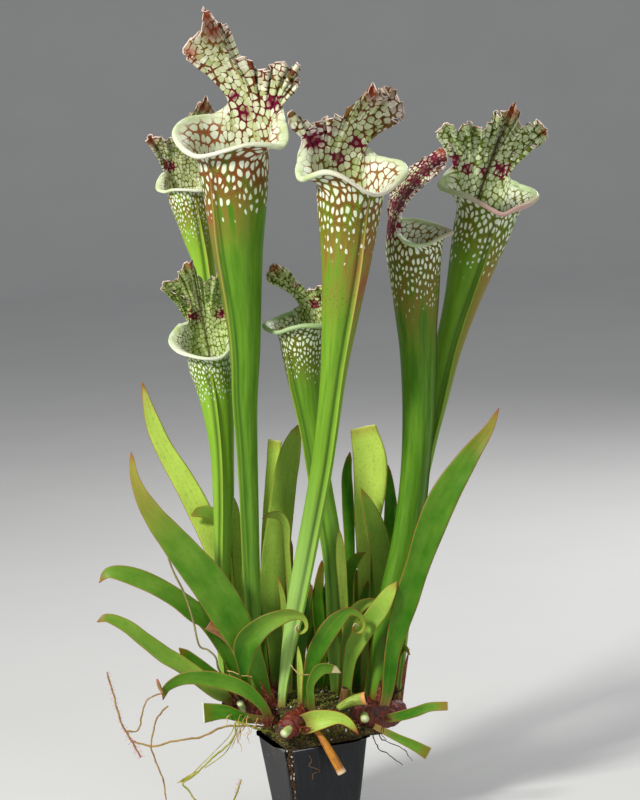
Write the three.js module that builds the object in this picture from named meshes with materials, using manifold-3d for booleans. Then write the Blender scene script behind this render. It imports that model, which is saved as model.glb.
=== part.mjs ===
// A potted pitcher plant: seven tall pitchers, their flat sword leaves and a few small neighbours,
// growing from a crown of rhizomes and moss in a square nursery pot. Millimetres, +Z up, +X right,
// +Y away from the viewer, origin at the centre of the pot's underside.
import * as THREE from "three";
import Module from "manifold-3d";

const wasm = await Module();
wasm.setup();

// Pot
const POT_TOP = 88; // side of the square at the rim
const POT_FOOT = 66; // side of the square at the foot
const POT_H = 95;
const POT_WALL = 1.3;
const POT_FLOOR = 2;
const POT_CORNER = 9; // corner radius
const POT_TURN = 22; // degrees about the upright
const SPLIT_TOP = 9; // width of the split front corner at the rim
const SPLIT_DEEP = 72; // how far the split runs down
const MIX_TOP = POT_H - 10;
const GAP = 0.35; // clearance between neighbouring pieces
const BLADE = 0.9; // thickness of a leaf
const WALL = 1; // wall of a pitcher
const LIP_ROLL = 2.3; // radius of the rolled lip

// The plant is laid out as the viewer sees it. Every point is [across, down, depth]: mm across and
// down a board that is square to the viewer, from its top left corner, and mm behind an upright sheet
// through the pot's middle. The pot's rim centre is seen at RIM, and AIM is straight ahead of the viewer.
const RIM = [312, 734];
const AIM = [320, 400];
const VIEW_DOWN = 8; // degrees that the viewer looks down
const VIEW_ROLL = 3; // degrees that the board is rolled
const VIEW_FAR = 2200; // distance from the viewer to the board

const rad = (degrees) => (degrees * Math.PI) / 180;
const mix = (a, b, t) => a + (b - a) * t;
const clamp01 = (t) => Math.min(1, Math.max(0, t));
const smooth = (t) => clamp01(t) ** 2 * (3 - 2 * clamp01(t));
const vec = (x, y, z) => new THREE.Vector3(x, y, z);
const sum = (...terms) => {
  const out = vec(0, 0, 0);
  for (const [v, k] of terms) out.addScaledVector(v, k);
  return out;
};

const E = rad(VIEW_DOWN);
const AHEAD = vec(0, Math.cos(E), -Math.sin(E));
const TIPPED = vec(0, Math.sin(E), Math.cos(E));
const RIGHT = sum([vec(1, 0, 0), Math.cos(rad(VIEW_ROLL))], [TIPPED, -Math.sin(rad(VIEW_ROLL))]);
const UP = sum([vec(1, 0, 0), Math.sin(rad(VIEW_ROLL))], [TIPPED, Math.cos(rad(VIEW_ROLL))]);
const CENTRE = sum([vec(0, 0, POT_H), 1], [RIGHT, AIM[0] - RIM[0]], [UP, RIM[1] - AIM[1]]);

function place([across, down, depth]) {
  const seen = sum([RIGHT, across - AIM[0]], [UP, AIM[1] - down]);
  const reach = (depth - CENTRE.y - seen.y) / (AHEAD.y + seen.y / VIEW_FAR);
  return sum([CENTRE, 1], [seen, 1 + reach / VIEW_FAR], [AHEAD, reach]);
}

// A smooth curve through rows of numbers, read at t from 0 to the last row's index.
function curve(points, t) {
  const n = points.length - 1;
  const i = Math.min(Math.floor(t), n - 1);
  const f = t - i;
  const at = (k) => {
    if (k < 0) return points[0].map((v, c) => 2 * v - points[1][c]);
    if (k > n) return points[n].map((v, c) => 2 * v - points[n - 1][c]);
    return points[k];
  };
  const [p, q, r, s] = [at(i - 1), at(i), at(i + 1), at(i + 2)];
  return q.map((v, c) => {
    const a = r[c] - p[c];
    const b = 2 * p[c] - 5 * v + 4 * r[c] - s[c];
    const d = 3 * v - p[c] - 3 * r[c] + s[c];
    return 0.5 * (2 * v + a * f + b * f * f + d * f * f * f);
  });
}

// The same curve cut into equal steps along its length on the board.
function steps(points, count) {
  const fine = [];
  const total = (points.length - 1) * 12;
  for (let i = 0; i <= total; i++) fine.push(curve(points, i / 12));
  const far = [0];
  for (let i = 1; i < fine.length; i++) {
    const d = [0, 1, 2].map((c) => fine[i][c] - fine[i - 1][c]);
    far.push(far[i - 1] + Math.hypot(...d));
  }
  const out = [];
  for (let k = 0; k < count; k++) {
    const want = (far[total] * k) / (count - 1);
    let i = 1;
    while (i < total && far[i] < want) i++;
    const f = clamp01((want - far[i - 1]) / (far[i] - far[i - 1] || 1));
    out.push(fine[i].map((v, c) => mix(fine[i - 1][c], v, f)));
  }
  return out;
}

// One closed body from points and triangles, turned right side out.
function solid(points, triangles) {
  let volume = 0;
  for (const [a, b, c] of triangles) {
    volume += points[a].dot(points[b].clone().cross(points[c]));
  }
  const faces = volume < 0 ? triangles.map(([a, b, c]) => [a, c, b]) : triangles;
  const mesh = new wasm.Mesh({
    numProp: 3,
    vertProperties: new Float32Array(points.flatMap((p) => [p.x, p.y, p.z])),
    triVerts: new Uint32Array(faces.flat()),
  });
  return new wasm.Manifold(mesh);
}

// Rings of equal count joined into a skin, with both ends closed by a fan.
function loft(rings) {
  const n = rings[0].length;
  const points = rings.flat();
  const triangles = [];
  for (let i = 0; i + 1 < rings.length; i++) {
    for (let j = 0; j < n; j++) {
      const [a, b] = [i * n + j, i * n + ((j + 1) % n)];
      triangles.push([a, b, b + n], [a, b + n, a + n]);
    }
  }
  for (const [start, flip] of [[0, true], [(rings.length - 1) * n, false]]) {
    const middle = points.length;
    points.push(sum(...points.slice(start, start + n).map((p) => [p, 1 / n])));
    for (let j = 0; j < n; j++) {
      const [a, b] = [start + j, start + ((j + 1) % n)];
      triangles.push(flip ? [b, a, middle] : [a, b, middle]);
    }
  }
  return solid(points, triangles);
}

// Two grids of points, the upper and the under face of a blade, split into triangles alike.
function blade(upper, under) {
  const [rows, cols] = [upper.length, upper[0].length];
  const points = [...upper.flat(), ...under.flat()];
  const id = (side, i, j) => (side * rows + i) * cols + j;
  const triangles = [];
  const quad = (a, b, c, d) => triangles.push([a, b, c], [a, c, d]);
  for (let i = 0; i + 1 < rows; i++) {
    for (let j = 0; j + 1 < cols; j++) {
      quad(id(0, i, j), id(0, i, j + 1), id(0, i + 1, j + 1), id(0, i + 1, j));
      triangles.push([id(1, i, j), id(1, i + 1, j + 1), id(1, i, j + 1)]);
      triangles.push([id(1, i, j), id(1, i + 1, j), id(1, i + 1, j + 1)]);
    }
    quad(id(1, i, 0), id(0, i, 0), id(0, i + 1, 0), id(1, i + 1, 0));
    quad(id(0, i, cols - 1), id(1, i, cols - 1), id(1, i + 1, cols - 1), id(0, i + 1, cols - 1));
  }
  for (let j = 0; j + 1 < cols; j++) {
    quad(id(1, 0, j), id(1, 0, j + 1), id(0, 0, j + 1), id(0, 0, j));
    quad(id(0, rows - 1, j), id(0, rows - 1, j + 1), id(1, rows - 1, j + 1), id(1, rows - 1, j));
  }
  return solid(points, triangles);
}

function directions(places) {
  return places.map((p, i) => {
    const ahead = places[Math.min(i + 1, places.length - 1)];
    return ahead.clone().sub(places[Math.max(i - 1, 0)]).normalize();
  });
}

// A flat sword leaf along a spine of [across, down, depth, half width], base first. It faces the
// viewer, turned by twist degrees from its first to its last value, and folded by camber.
function leaf({ spine, twist = [10, -20], camber = 0.16, thick = BLADE }, grow = 0) {
  const long = spine.slice(1).reduce((far, p, i) => far + Math.hypot(p[0] - spine[i][0], p[1] - spine[i][1]), 0);
  const count = Math.max(6, Math.min(12, Math.round(long / 24) + 2));
  const rows = steps(spine, count);
  const places = rows.map(place);
  const along = directions(places);
  places[0].addScaledVector(along[0], -grow);
  const upper = [];
  const under = [];
  places.forEach((p, i) => {
    const t = i / (count - 1);
    const turn = rad(mix(twist[0], twist[1], t));
    const flat = along[i].clone().cross(AHEAD).normalize().applyAxisAngle(along[i], turn);
    const face = flat.clone().cross(along[i]).normalize();
    const half = Math.max(0.6, rows[i][3]) / Math.max(0.5, Math.cos(turn)) + grow;
    const fold = camber * half;
    const at = (side, lift) => sum([p, 1], [flat, side * half], [face, lift]);
    const h = thick / 2 + grow;
    upper.push([at(-1, h * 0.8), at(0, h + fold), at(1, h * 0.8)]);
    under.push([at(-1, -h * 0.8), at(0, -h + fold), at(1, -h * 0.8)]);
  });
  return blade(upper, under);
}

function ringAt(p, direction, radius, sides, lumps = () => 1) {
  const side = direction.clone().cross(AHEAD).normalize();
  const front = side.clone().cross(direction).normalize();
  return Array.from({ length: sides }, (_, j) => {
    const a = (2 * Math.PI * j) / sides;
    const r = radius * lumps(a);
    return sum([p, 1], [side, r * Math.sin(a)], [front, r * Math.cos(a)]);
  });
}

// A round stem along a spine of [across, down, depth, radius]. A hollow one is open at its last end.
function stem({ spine, sides = 6, hollow = 0, lumps, count }, grow = 0) {
  const rows = steps(spine, count ?? Math.max(3, spine.length + 1));
  const places = rows.map(place);
  const along = directions(places);
  places[0].addScaledVector(along[0], -grow);
  const rings = rows.map((r, i) => {
    const wobble = lumps && ((a) => lumps(a, i));
    return ringAt(places[i], along[i], r[3] + grow, sides, wobble);
  });
  if (hollow && !grow) {
    const last = rows.length - 1;
    const deep = places[last].clone().addScaledVector(along[last], -hollow);
    rings.push(ringAt(places[last], along[last], rows[last][3] - 1, sides));
    rings.push(ringAt(deep, along[last], Math.max(0.8, rows[last][3] - 2.2), sides));
  }
  return loft(rings);
}

// A pitcher: a tube that widens upward with a thin wing down its front, a flared and rolled lip, and
// a tall ruffled lid behind. spine is [across, down, depth, radius] from the foot to the mouth. lip
// and lid are the free edge as [across, down, depth from the mouth's centre]: the lip from the left
// notch round the front to the right notch, and the lid from the left notch over its tip, which is
// lid[tip], to the right notch. facing is in degrees, 0 to the viewer and positive to the right.
const NECK = 50 / 360; // half of the mouth that carries the lid, as a part of the whole turn
const TUBE_COLS = 12;
const LID_COLS = 9; // on each side of the middle
const LIP_COLS = 12;
const CROWN_ROWS = 5;

function frameAt(direction, facing) {
  const a = rad(facing);
  const toward = sum([AHEAD, -Math.cos(a)], [RIGHT, Math.sin(a)]);
  const front = toward.addScaledVector(direction, -toward.dot(direction)).normalize();
  return { front, side: direction.clone().cross(front).normalize() };
}

// The direction out of the axis at part u of a turn, from the back over the left side.
function outward({ front, side }, u) {
  const a = 2 * Math.PI * (u + 0.5);
  return sum([front, Math.cos(a)], [side, Math.sin(a)]);
}

function tubeRing(p, direction, facing, radius, fin) {
  const frame = frameAt(direction, facing);
  const ring = [];
  const turns = [];
  for (let j = 0; j < TUBE_COLS; j++) {
    const u = j / TUBE_COLS;
    if (fin !== null && j === TUBE_COLS / 2) {
      for (const [across, out] of [[-1.3, 0], [-0.4, fin], [0.4, fin], [1.3, 0]]) {
        ring.push(sum([p, 1], [frame.front, radius * 0.995 + out], [frame.side, across]));
        turns.push(u + across / 400);
      }
    } else {
      ring.push(sum([p, 1], [outward(frame, u), radius]));
      turns.push(u);
    }
  }
  return { ring, turns };
}

// The free edge as one closed run over u, each point with its smoothed place.
function edgePoint(p, u) {
  const mouth = p.spine[p.spine.length - 1];
  const lip = [p.lid[0], ...p.lip, p.lid[p.lid.length - 1]];
  const read = (list, t) => {
    const [x, y, d] = curve(list, t);
    return place([x, y, mouth[2] + d]);
  };
  if (u >= NECK && u <= 1 - NECK) {
    const q = read(lip, ((u - NECK) / (1 - 2 * NECK)) * (lip.length - 1));
    return { edge: q, plain: q };
  }
  const right = p.lid.length - 1 - p.tip;
  const v = u < NECK ? p.tip * (1 - u / NECK) : p.tip + right * ((1 - u) / NECK);
  const near = [-1, -0.5, 0, 0.5, 1].map((s) => read(p.lid, Math.min(p.lid.length - 1, Math.max(0, v + s * 1.5))));
  const plain = sum(...near.map((q) => [q, 1 / near.length]));
  const hold = smooth(Math.min(v, p.lid.length - 1 - v) / 2);
  const edge = read(p.lid, v);
  return { edge, plain: sum([edge, 1 - hold], [plain, hold]) };
}

// The wall's middle surface above the mouth at turn u: the flare and roll of the lip or a ray of the lid.
function crownColumn(p, mouth, axis, frame, u, rows) {
  const out = outward(frame, u);
  const start = sum([mouth, 1], [out, p.radius - WALL / 2]);
  const { edge, plain } = edgePoint(p, u);
  const rise = Math.max(4, plain.clone().sub(start).dot(axis) * 0.62);
  const handle = sum([start, 1], [axis, rise]);
  const roll = smooth(Math.min(u - NECK, 1 - NECK - u) / 0.09) * (u > NECK && u < 1 - NECK ? 1 : 0);
  const span = edge.clone().sub(start).length();
  const away = edge.clone().sub(handle).normalize();
  const wide = axis.clone().cross(out).normalize();
  const over = wide.clone().cross(away).normalize();
  const nib = over.dot(axis) < 0 ? over.negate() : over;
  return Array.from({ length: rows + 1 }, (_, k) => {
    const t = k / rows;
    const s = mix(t, Math.min(1, t / 0.6), roll);
    const turn = rad(200) * clamp01((t - 0.6) / 0.4) * roll;
    const base = sum([start, (1 - s) ** 2], [handle, 2 * s * (1 - s)], [plain, s * s]);
    base.addScaledVector(edge.clone().sub(plain), s ** 3);
    const r = LIP_ROLL * roll * Math.min(1, span / 30);
    return sum([base, 1], [away, r * Math.sin(turn)], [nib, -r * (1 - Math.cos(turn))]);
  });
}

function crownTurns() {
  const turns = [];
  for (let j = 0; j < LID_COLS; j++) turns.push((NECK * j) / LID_COLS);
  for (let j = 0; j < LIP_COLS; j++) turns.push(NECK + ((1 - 2 * NECK) * j) / LIP_COLS);
  for (let j = 0; j < LID_COLS; j++) turns.push(1 - NECK + (NECK * j) / LID_COLS);
  return turns;
}

// Two rings of any counts joined into a band. Both start at the same turn.
function zip(a, aTurns, b, bTurns, triangles) {
  let [i, j] = [0, 0];
  while (i < a.length || j < b.length) {
    const nextA = i < a.length ? (aTurns[i + 1] ?? 1) : 2;
    const nextB = j < b.length ? (bTurns[j + 1] ?? 1) : 2;
    const [p, q] = [a[i % a.length], b[j % b.length]];
    if (nextA <= nextB) triangles.push([p, a[++i % a.length], q]);
    else triangles.push([p, b[++j % b.length], q]);
  }
}

function pitcherParts(p) {
  const mouthRow = p.spine[p.spine.length - 1];
  const rows = steps(p.spine, 11);
  const places = rows.map(place);
  const along = directions(places);
  return { rows, places, along, mouth: place(mouthRow), axis: along[along.length - 1] };
}

function pitcher(p) {
  const { rows, places, along, mouth, axis } = pitcherParts(p);
  const last = rows.length - 1;
  const points = [];
  const triangles = [];
  const add = (ring) => ring.map((q) => points.push(q) - 1);
  const skin = (lower, upper) => {
    lower.forEach((a, j) => {
      const k = (j + 1) % lower.length;
      triangles.push([a, lower[k], upper[k]], [a, upper[k], upper[j]]);
    });
  };
  const close = (ring, middle) => {
    const c = points.push(middle) - 1;
    ring.forEach((a, j) => triangles.push([ring[(j + 1) % ring.length], a, c]));
  };
  // Outside of the tube, foot to just below the mouth, then the outside of the crown.
  let before = null;
  let turns = null;
  for (let i = 0; i < last; i++) {
    const fin = p.fin * smooth((last - i) / 2) * smooth((i + 1) / 3);
    const made = tubeRing(places[i], along[i], p.facing, rows[i][3], fin);
    const ring = add(made.ring);
    if (before) skin(before, ring);
    else close(ring, places[0]);
    [before, turns] = [ring, made.turns];
  }
  const frame = frameAt(axis, p.facing);
  const at = crownTurns();
  const grid = at.map((u) => crownColumn({ ...p, radius: rows[last][3] }, mouth, axis, frame, u, CROWN_ROWS));
  const normals = grid.map((column, j) =>
    column.map((q, k) => {
      if (k === 0) return outward(frame, at[j]);
      const [l, r] = [grid[(j + grid.length - 1) % grid.length], grid[(j + 1) % grid.length]];
      const up = column[Math.min(k + 1, CROWN_ROWS)].clone().sub(column[k - 1]);
      return r[k].clone().sub(l[k]).cross(up).normalize();
    }),
  );
  const faceRing = (k, side) => add(grid.map((column, j) => sum([column[k], 1], [normals[j][k], (side * WALL) / 2])));
  const outer = Array.from({ length: CROWN_ROWS + 1 }, (_, k) => faceRing(k, 1));
  const inner = Array.from({ length: CROWN_ROWS + 1 }, (_, k) => faceRing(k, -1));
  zip(before, turns, outer[0], at, triangles);
  for (let k = 0; k < CROWN_ROWS; k++) skin(outer[k], outer[k + 1]);
  skin(outer[CROWN_ROWS], inner[CROWN_ROWS]);
  for (let k = CROWN_ROWS; k > 0; k--) skin(inner[k], inner[k - 1]);
  // Inside of the tube, down to the bottom of the hollow.
  const bottom = Math.round(last * 0.2);
  let inside = inner[0];
  let insideTurns = at;
  for (let i = last - 1; i >= bottom; i--) {
    const made = tubeRing(places[i], along[i], p.facing, rows[i][3] - WALL, null);
    const ring = add(made.ring);
    if (insideTurns === at) zip(inside, at, ring, made.turns, triangles);
    else skin(inside, ring);
    [inside, insideTurns] = [ring, made.turns];
  }
  const c = points.push(sum([places[bottom], 1], [along[bottom], -4])) - 1;
  inside.forEach((a, j) => triangles.push([a, inside[(j + 1) % inside.length], c]));
  return solid(points, triangles);
}

// The foot of a pitcher alone, grown all round, to cut the hole that it stands in.
function pitcherFoot(p, grow) {
  const { rows, places, along } = pitcherParts(p);
  places[0].addScaledVector(along[0], -grow);
  const rings = [0, 1, 2].map((i) => {
    const fin = p.fin * smooth((i + 1) / 3) + grow;
    return tubeRing(places[i], along[i], p.facing, rows[i][3] + grow + 0.1, fin).ring;
  });
  return loft(rings);
}

// A square with round corners, as points round the upright.
function square(side, z, corner) {
  const points = [];
  const flat = side / 2 - corner;
  for (let k = 0; k < 4; k++) {
    for (let s = 0; s <= 3; s++) {
      const a = rad(90 * k + 30 * s);
      const [sx, sy] = [[1, 1], [-1, 1], [-1, -1], [1, -1]][k];
      points.push(vec(sx * flat + corner * Math.cos(a), sy * flat + corner * Math.sin(a), z));
    }
  }
  return points.map((p) => p.applyAxisAngle(vec(0, 0, 1), rad(POT_TURN)));
}

const potSide = (z) => mix(POT_FOOT, POT_TOP, z / POT_H);
const potBlock = (inset, low, high) =>
  loft([low, high].map((z) => square(potSide(z) - 2 * inset, z, POT_CORNER - Math.min(inset, 4))));

function pot() {
  const shell = potBlock(0, 0, POT_H).subtract(potBlock(POT_WALL, POT_FLOOR, POT_H + 5));
  // The front corner is split open from the rim, to nothing at the split's foot.
  const corner = rad(POT_TURN - 135);
  const away = vec(Math.cos(corner), Math.sin(corner), 0);
  const side = vec(-away.y, away.x, 0);
  const ring = (reach) => [[-1, POT_H + 1], [1, POT_H + 1], [0, POT_H - SPLIT_DEEP]].map(([s, z]) =>
    sum([away, reach], [side, (s * SPLIT_TOP) / 2], [vec(0, 0, 1), z]));
  return shell.subtract(loft([ring(20), ring(80)]));
}

const potInside = (low, high) => potBlock(POT_WALL + GAP, low, high);

function pottingMix() {
  return potInside(POT_FLOOR + GAP, MIX_TOP);
}

// A lumpy dome of moss over the mix, wider than the pot above its rim.
const MOSS = { x: 4, y: 1, z: POT_H - 6, wide: 64, deep: 50, high: 46 };

function moss() {
  const rings = [];
  const [n, levels] = [16, 6];
  for (let i = 0; i < levels; i++) {
    const a = rad(mix(-25, 78, i / (levels - 1)));
    rings.push(Array.from({ length: n }, (_, j) => {
      const t = (2 * Math.PI * j) / n;
      const lump = 1 + 0.05 * Math.sin(3 * t + 1 + i) + 0.04 * Math.sin(5 * t + 2 * i);
      const [c, s] = [Math.cos(a) ** 0.6 * lump, Math.sin(a)];
      return vec(MOSS.x + MOSS.wide * c * Math.cos(t), MOSS.y + MOSS.deep * c * Math.sin(t), MOSS.z + MOSS.high * s);
    }));
  }
  const dome = loft(rings);
  const cut = (z) => dome.trimByPlane([0, 0, 1], z);
  return cut(POT_H + GAP).add(cut(MIX_TOP + GAP).intersect(potInside(MIX_TOP, POT_H + 3)));
}

const lumpy = (seed) => (a, i) => 1 + 0.08 * Math.sin(2 * a + seed + 1.7 * i) + 0.06 * Math.sin(3 * a + 2.3 * i);

const RHIZOMES = {
  rhizome_left: { sides: 9, count: 7, lumps: lumpy(1), spine: [
    [292, 716, 0, 8], [276, 706, -3, 13], [258, 704, 0, 15], [244, 703, 4, 15], [230, 706, 9, 10], [222, 704, 10, 5]] },
  rhizome_back: { sides: 8, count: 5, lumps: lumpy(4), spine: [
    [278, 706, 38, 6], [262, 706, 37, 10], [244, 706, 34, 10], [231, 708, 35, 6]] },
  rhizome_right: { sides: 9, count: 7, lumps: lumpy(2), spine: [
    [334, 716, -6, 8], [350, 712, -8, 12], [368, 712, -8, 14], [384, 713, -3, 14], [394, 711, 14, 12],
    [399, 710, 32, 8]] },
  rhizome_front: { sides: 8, count: 6, lumps: lumpy(3), spine: [
    [304, 712, -26, 7], [299, 718, -34, 10], [292, 724, -42, 11], [286, 731, -49, 9], [283, 738, -53, 4]] },
};

const PITCHERS = {
  pitcher_tall_left: {
    facing: -42, fin: 4.5, tip: 9,
    spine: [[254, 706, 6, 5.5], [254, 640, 5, 7.5], [251, 550, 3, 8.5], [247, 450, 2, 10.5], [245, 400, 1, 12.5],
      [245, 350, 0, 15], [242, 300, 0, 19], [238, 250, 0, 24.5], [236, 205, 0, 30], [234, 170, 0, 34]],
    lip: [[222, 109, 38], [205, 114, 34], [190, 116, 22], [179, 122, 10], [174, 131, 0], [179, 142, -14],
      [188, 150, -27], [198, 154, -36], [212, 152, -42], [230, 147, -44], [250, 142, -42], [267, 142, -37],
      [282, 144, -29], [287, 136, -20], [285, 124, -12], [283, 111, -5]],
    lid: [[232, 98, 34], [230, 84, 30], [222, 72, 34], [212, 60, 24], [200, 56, 30], [190, 58, 22],
      [182, 50, 20], [192, 36, 10], [200, 22, -12], [204, 10, -28], [211, 19, -18], [222, 26, -14],
      [223, 40, 2], [229, 48, -6], [236, 54, 8], [245, 58, -2], [255, 66, 8], [265, 70, -4], [275, 65, -2],
      [284, 62, -14], [292, 71, -6], [300, 63, -20], [298, 75, -12], [295, 86, -14], [289, 92, -4],
      [282, 98, 0]],
  },
  pitcher_centre: {
    facing: 33, fin: 4, tip: 12,
    spine: [[282, 712, -14, 4.5], [284, 680, -15, 5], [297, 600, -19, 9.5], [318, 490, -25, 10.5],
      [327, 430, -28, 11], [334, 370, -31, 13], [342, 300, -35, 19.5], [346, 260, -37, 24], [350, 196, -40, 32]],
    lip: [[299, 152, -2], [297, 168, -10], [300, 176, -18], [310, 173, -28], [325, 169, -38], [340, 173, -43],
      [355, 183, -45], [368, 191, -44], [378, 193, -38], [390, 188, -28], [400, 178, -14], [407, 168, 0],
      [401, 160, 12], [386, 157, 24], [372, 151, 32]],
    lid: [[302, 140, 2], [298, 130, 4], [290, 124, -2], [287, 113, -8], [293, 114, 2], [300, 118, -4],
      [307, 126, 6], [315, 124, -2], [322, 118, 8], [335, 117, 0], [345, 113, 6], [354, 104, -4],
      [372, 87, -22], [380, 92, -12], [386, 94, -6], [391, 85, 0], [397, 94, 2], [404, 108, 8], [402, 119, 20],
      [392, 119, 14], [380, 120, 26], [370, 126, 22], [363, 140, 32]],
  },
  pitcher_back_left: {
    facing: 20, fin: 3.5, tip: 10,
    spine: [[238, 704, 32, 5], [233, 600, 42, 7], [222, 450, 58, 8.5], [212, 330, 76, 9], [205, 270, 85, 10.5],
      [199, 240, 90, 15], [190, 200, 95, 21]],
    lip: [[162, 175, 6], [157, 186, -2], [163, 190, -12], [172, 188, -20], [185, 188, -27], [200, 189, -29],
      [212, 188, -22], [221, 184, -10], [226, 177, 2], [219, 170, 14], [209, 166, 22]],
    lid: [[169, 166, 12], [166, 160, 12], [158, 154, 4], [149, 146, -2], [145, 140, -8], [151, 135, 0],
      [161, 138, -6], [170, 139, 4], [178, 128, -6], [188, 118, -16], [205, 98, -32], [212, 108, -22],
      [219, 116, -10], [227, 120, -4], [234, 128, 8], [228, 137, 14], [232, 147, 22], [222, 152, 20],
      [212, 157, 28], [200, 163, 26]],
  },
  pitcher_low_left: {
    facing: 0, fin: 4, tip: 10,
    spine: [[229, 712, 8, 4.5], [222, 640, 13, 5.5], [223, 550, 18, 8.5], [223.5, 500, 20, 10.5],
      [222, 450, 24, 12], [217, 400, 28, 17], [211, 368, 31, 21.5]],
    lip: [[186, 320, 12], [178, 327, 6], [172, 334, 0], [171, 341, -8], [178, 349, -17], [190, 354, -25],
      [205, 357, -29], [220, 356, -27], [229, 348, -20], [234, 341, -9], [235, 332, 2], [232, 322, 10]],
    lid: [[193, 313, 15], [190, 304, 6], [184, 297, 8], [176, 292, 0], [168, 291, -4], [160, 287, -10],
      [164, 281, -6], [172, 281, 2], [178, 277, -8], [181, 268, -14], [191, 260, -22], [196, 271, -12],
      [204, 281, -2], [214, 276, -8], [222, 271, -2], [229, 277, 8], [238, 281, 14], [240, 291, 14],
      [234, 299, 22], [230, 306, 20], [228, 313, 15]],
  },
  pitcher_small_centre: {
    facing: -50, fin: 4, tip: 7,
    spine: [[338, 706, 10, 6.5], [336, 600, 13, 9.5], [331, 540, 14, 10], [320, 480, 16, 11], [312, 430, 18, 12],
      [305, 380, 20, 17], [303, 345, 20, 22.5]],
    lip: [[292, 310, 24], [280, 315, 20], [270, 319, 12], [264, 323, 0], [269, 328, -10], [278, 330, -20],
      [290, 326, -27], [305, 323, -29], [320, 323, -27], [331, 321, -20], [336, 312, -10]],
    lid: [[302, 303, 20], [300, 294, 14], [292, 289, 20], [284, 285, 12], [275, 282, 14], [267, 279, 6],
      [267, 271, 0], [275, 263, -8], [282, 269, -2], [288, 279, 6], [296, 284, -2], [303, 291, 6],
      [310, 289, -4], [320, 286, -6], [330, 283, -14], [337, 288, -10], [338, 296, -12], [328, 303, -4]],
  },
  pitcher_profile: {
    facing: 105, fin: 4, tip: 9,
    spine: [[377, 708, -5, 7.5], [383, 650, 0, 11], [391, 600, 4, 12], [405, 540, 9, 13], [413, 480, 15, 13],
      [417, 420, 20, 14.5], [417, 360, 26, 16.5], [415.5, 320, 29, 19.5], [414, 252, 35, 28]],
    lip: [[398, 236, -33], [410, 243, -38], [425, 243, -33], [438, 237, -22], [448, 232, -8], [452, 230, 6],
      [446, 227, 20], [436, 223, 30], [420, 219, 36], [404, 217, 33]],
    lid: [[395, 226, -26], [399, 215, -34], [403, 206, -42], [409, 198, -38], [416, 190, -46], [425, 184, -38],
      [435, 175, -40], [441, 171, -28], [447, 164, -20], [447, 153, -4], [442, 147, 8], [433, 155, 20],
      [425, 157, 32], [416, 163, 30], [408, 169, 42], [400, 179, 36], [392, 190, 44], [388, 202, 34],
      [394, 213, 20]],
  },
  pitcher_far_right: {
    facing: 25, fin: 4, tip: 15,
    spine: [[395, 704, 30, 5.5], [415, 520, 48, 7], [427, 450, 56, 8], [438, 400, 62, 10], [448, 350, 68, 13.5],
      [462, 300, 75, 18], [476, 250, 82, 26], [483, 226, 85, 29.5]],
    lip: [[445, 173, 2], [440, 183, -8], [449, 188, -18], [464, 192, -30], [480, 200, -38], [494, 208, -42],
      [504, 212, -40], [516, 206, -32], [529, 201, -20], [537, 194, -6], [532, 188, 8], [520, 184, 20],
      [511, 177, 26]],
    lid: [[453, 165, 8], [451, 155, 8], [448, 147, 0], [441, 140, 4], [437, 133, -6], [441, 126, -2],
      [449, 123, -8], [457, 130, 2], [465, 122, -6], [472, 122, 2], [479, 128, -2], [487, 127, -10],
      [496, 112, -12], [501, 116, -18], [508, 108, -20], [514, 104, -26], [520, 113, -18], [519, 123, -8],
      [530, 125, -2], [541, 122, 10], [547, 131, 8], [546, 140, 18], [535, 145, 16], [525, 145, 26],
      [515, 150, 22], [508, 158, 28], [505, 166, 27]],
  },
};

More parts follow.
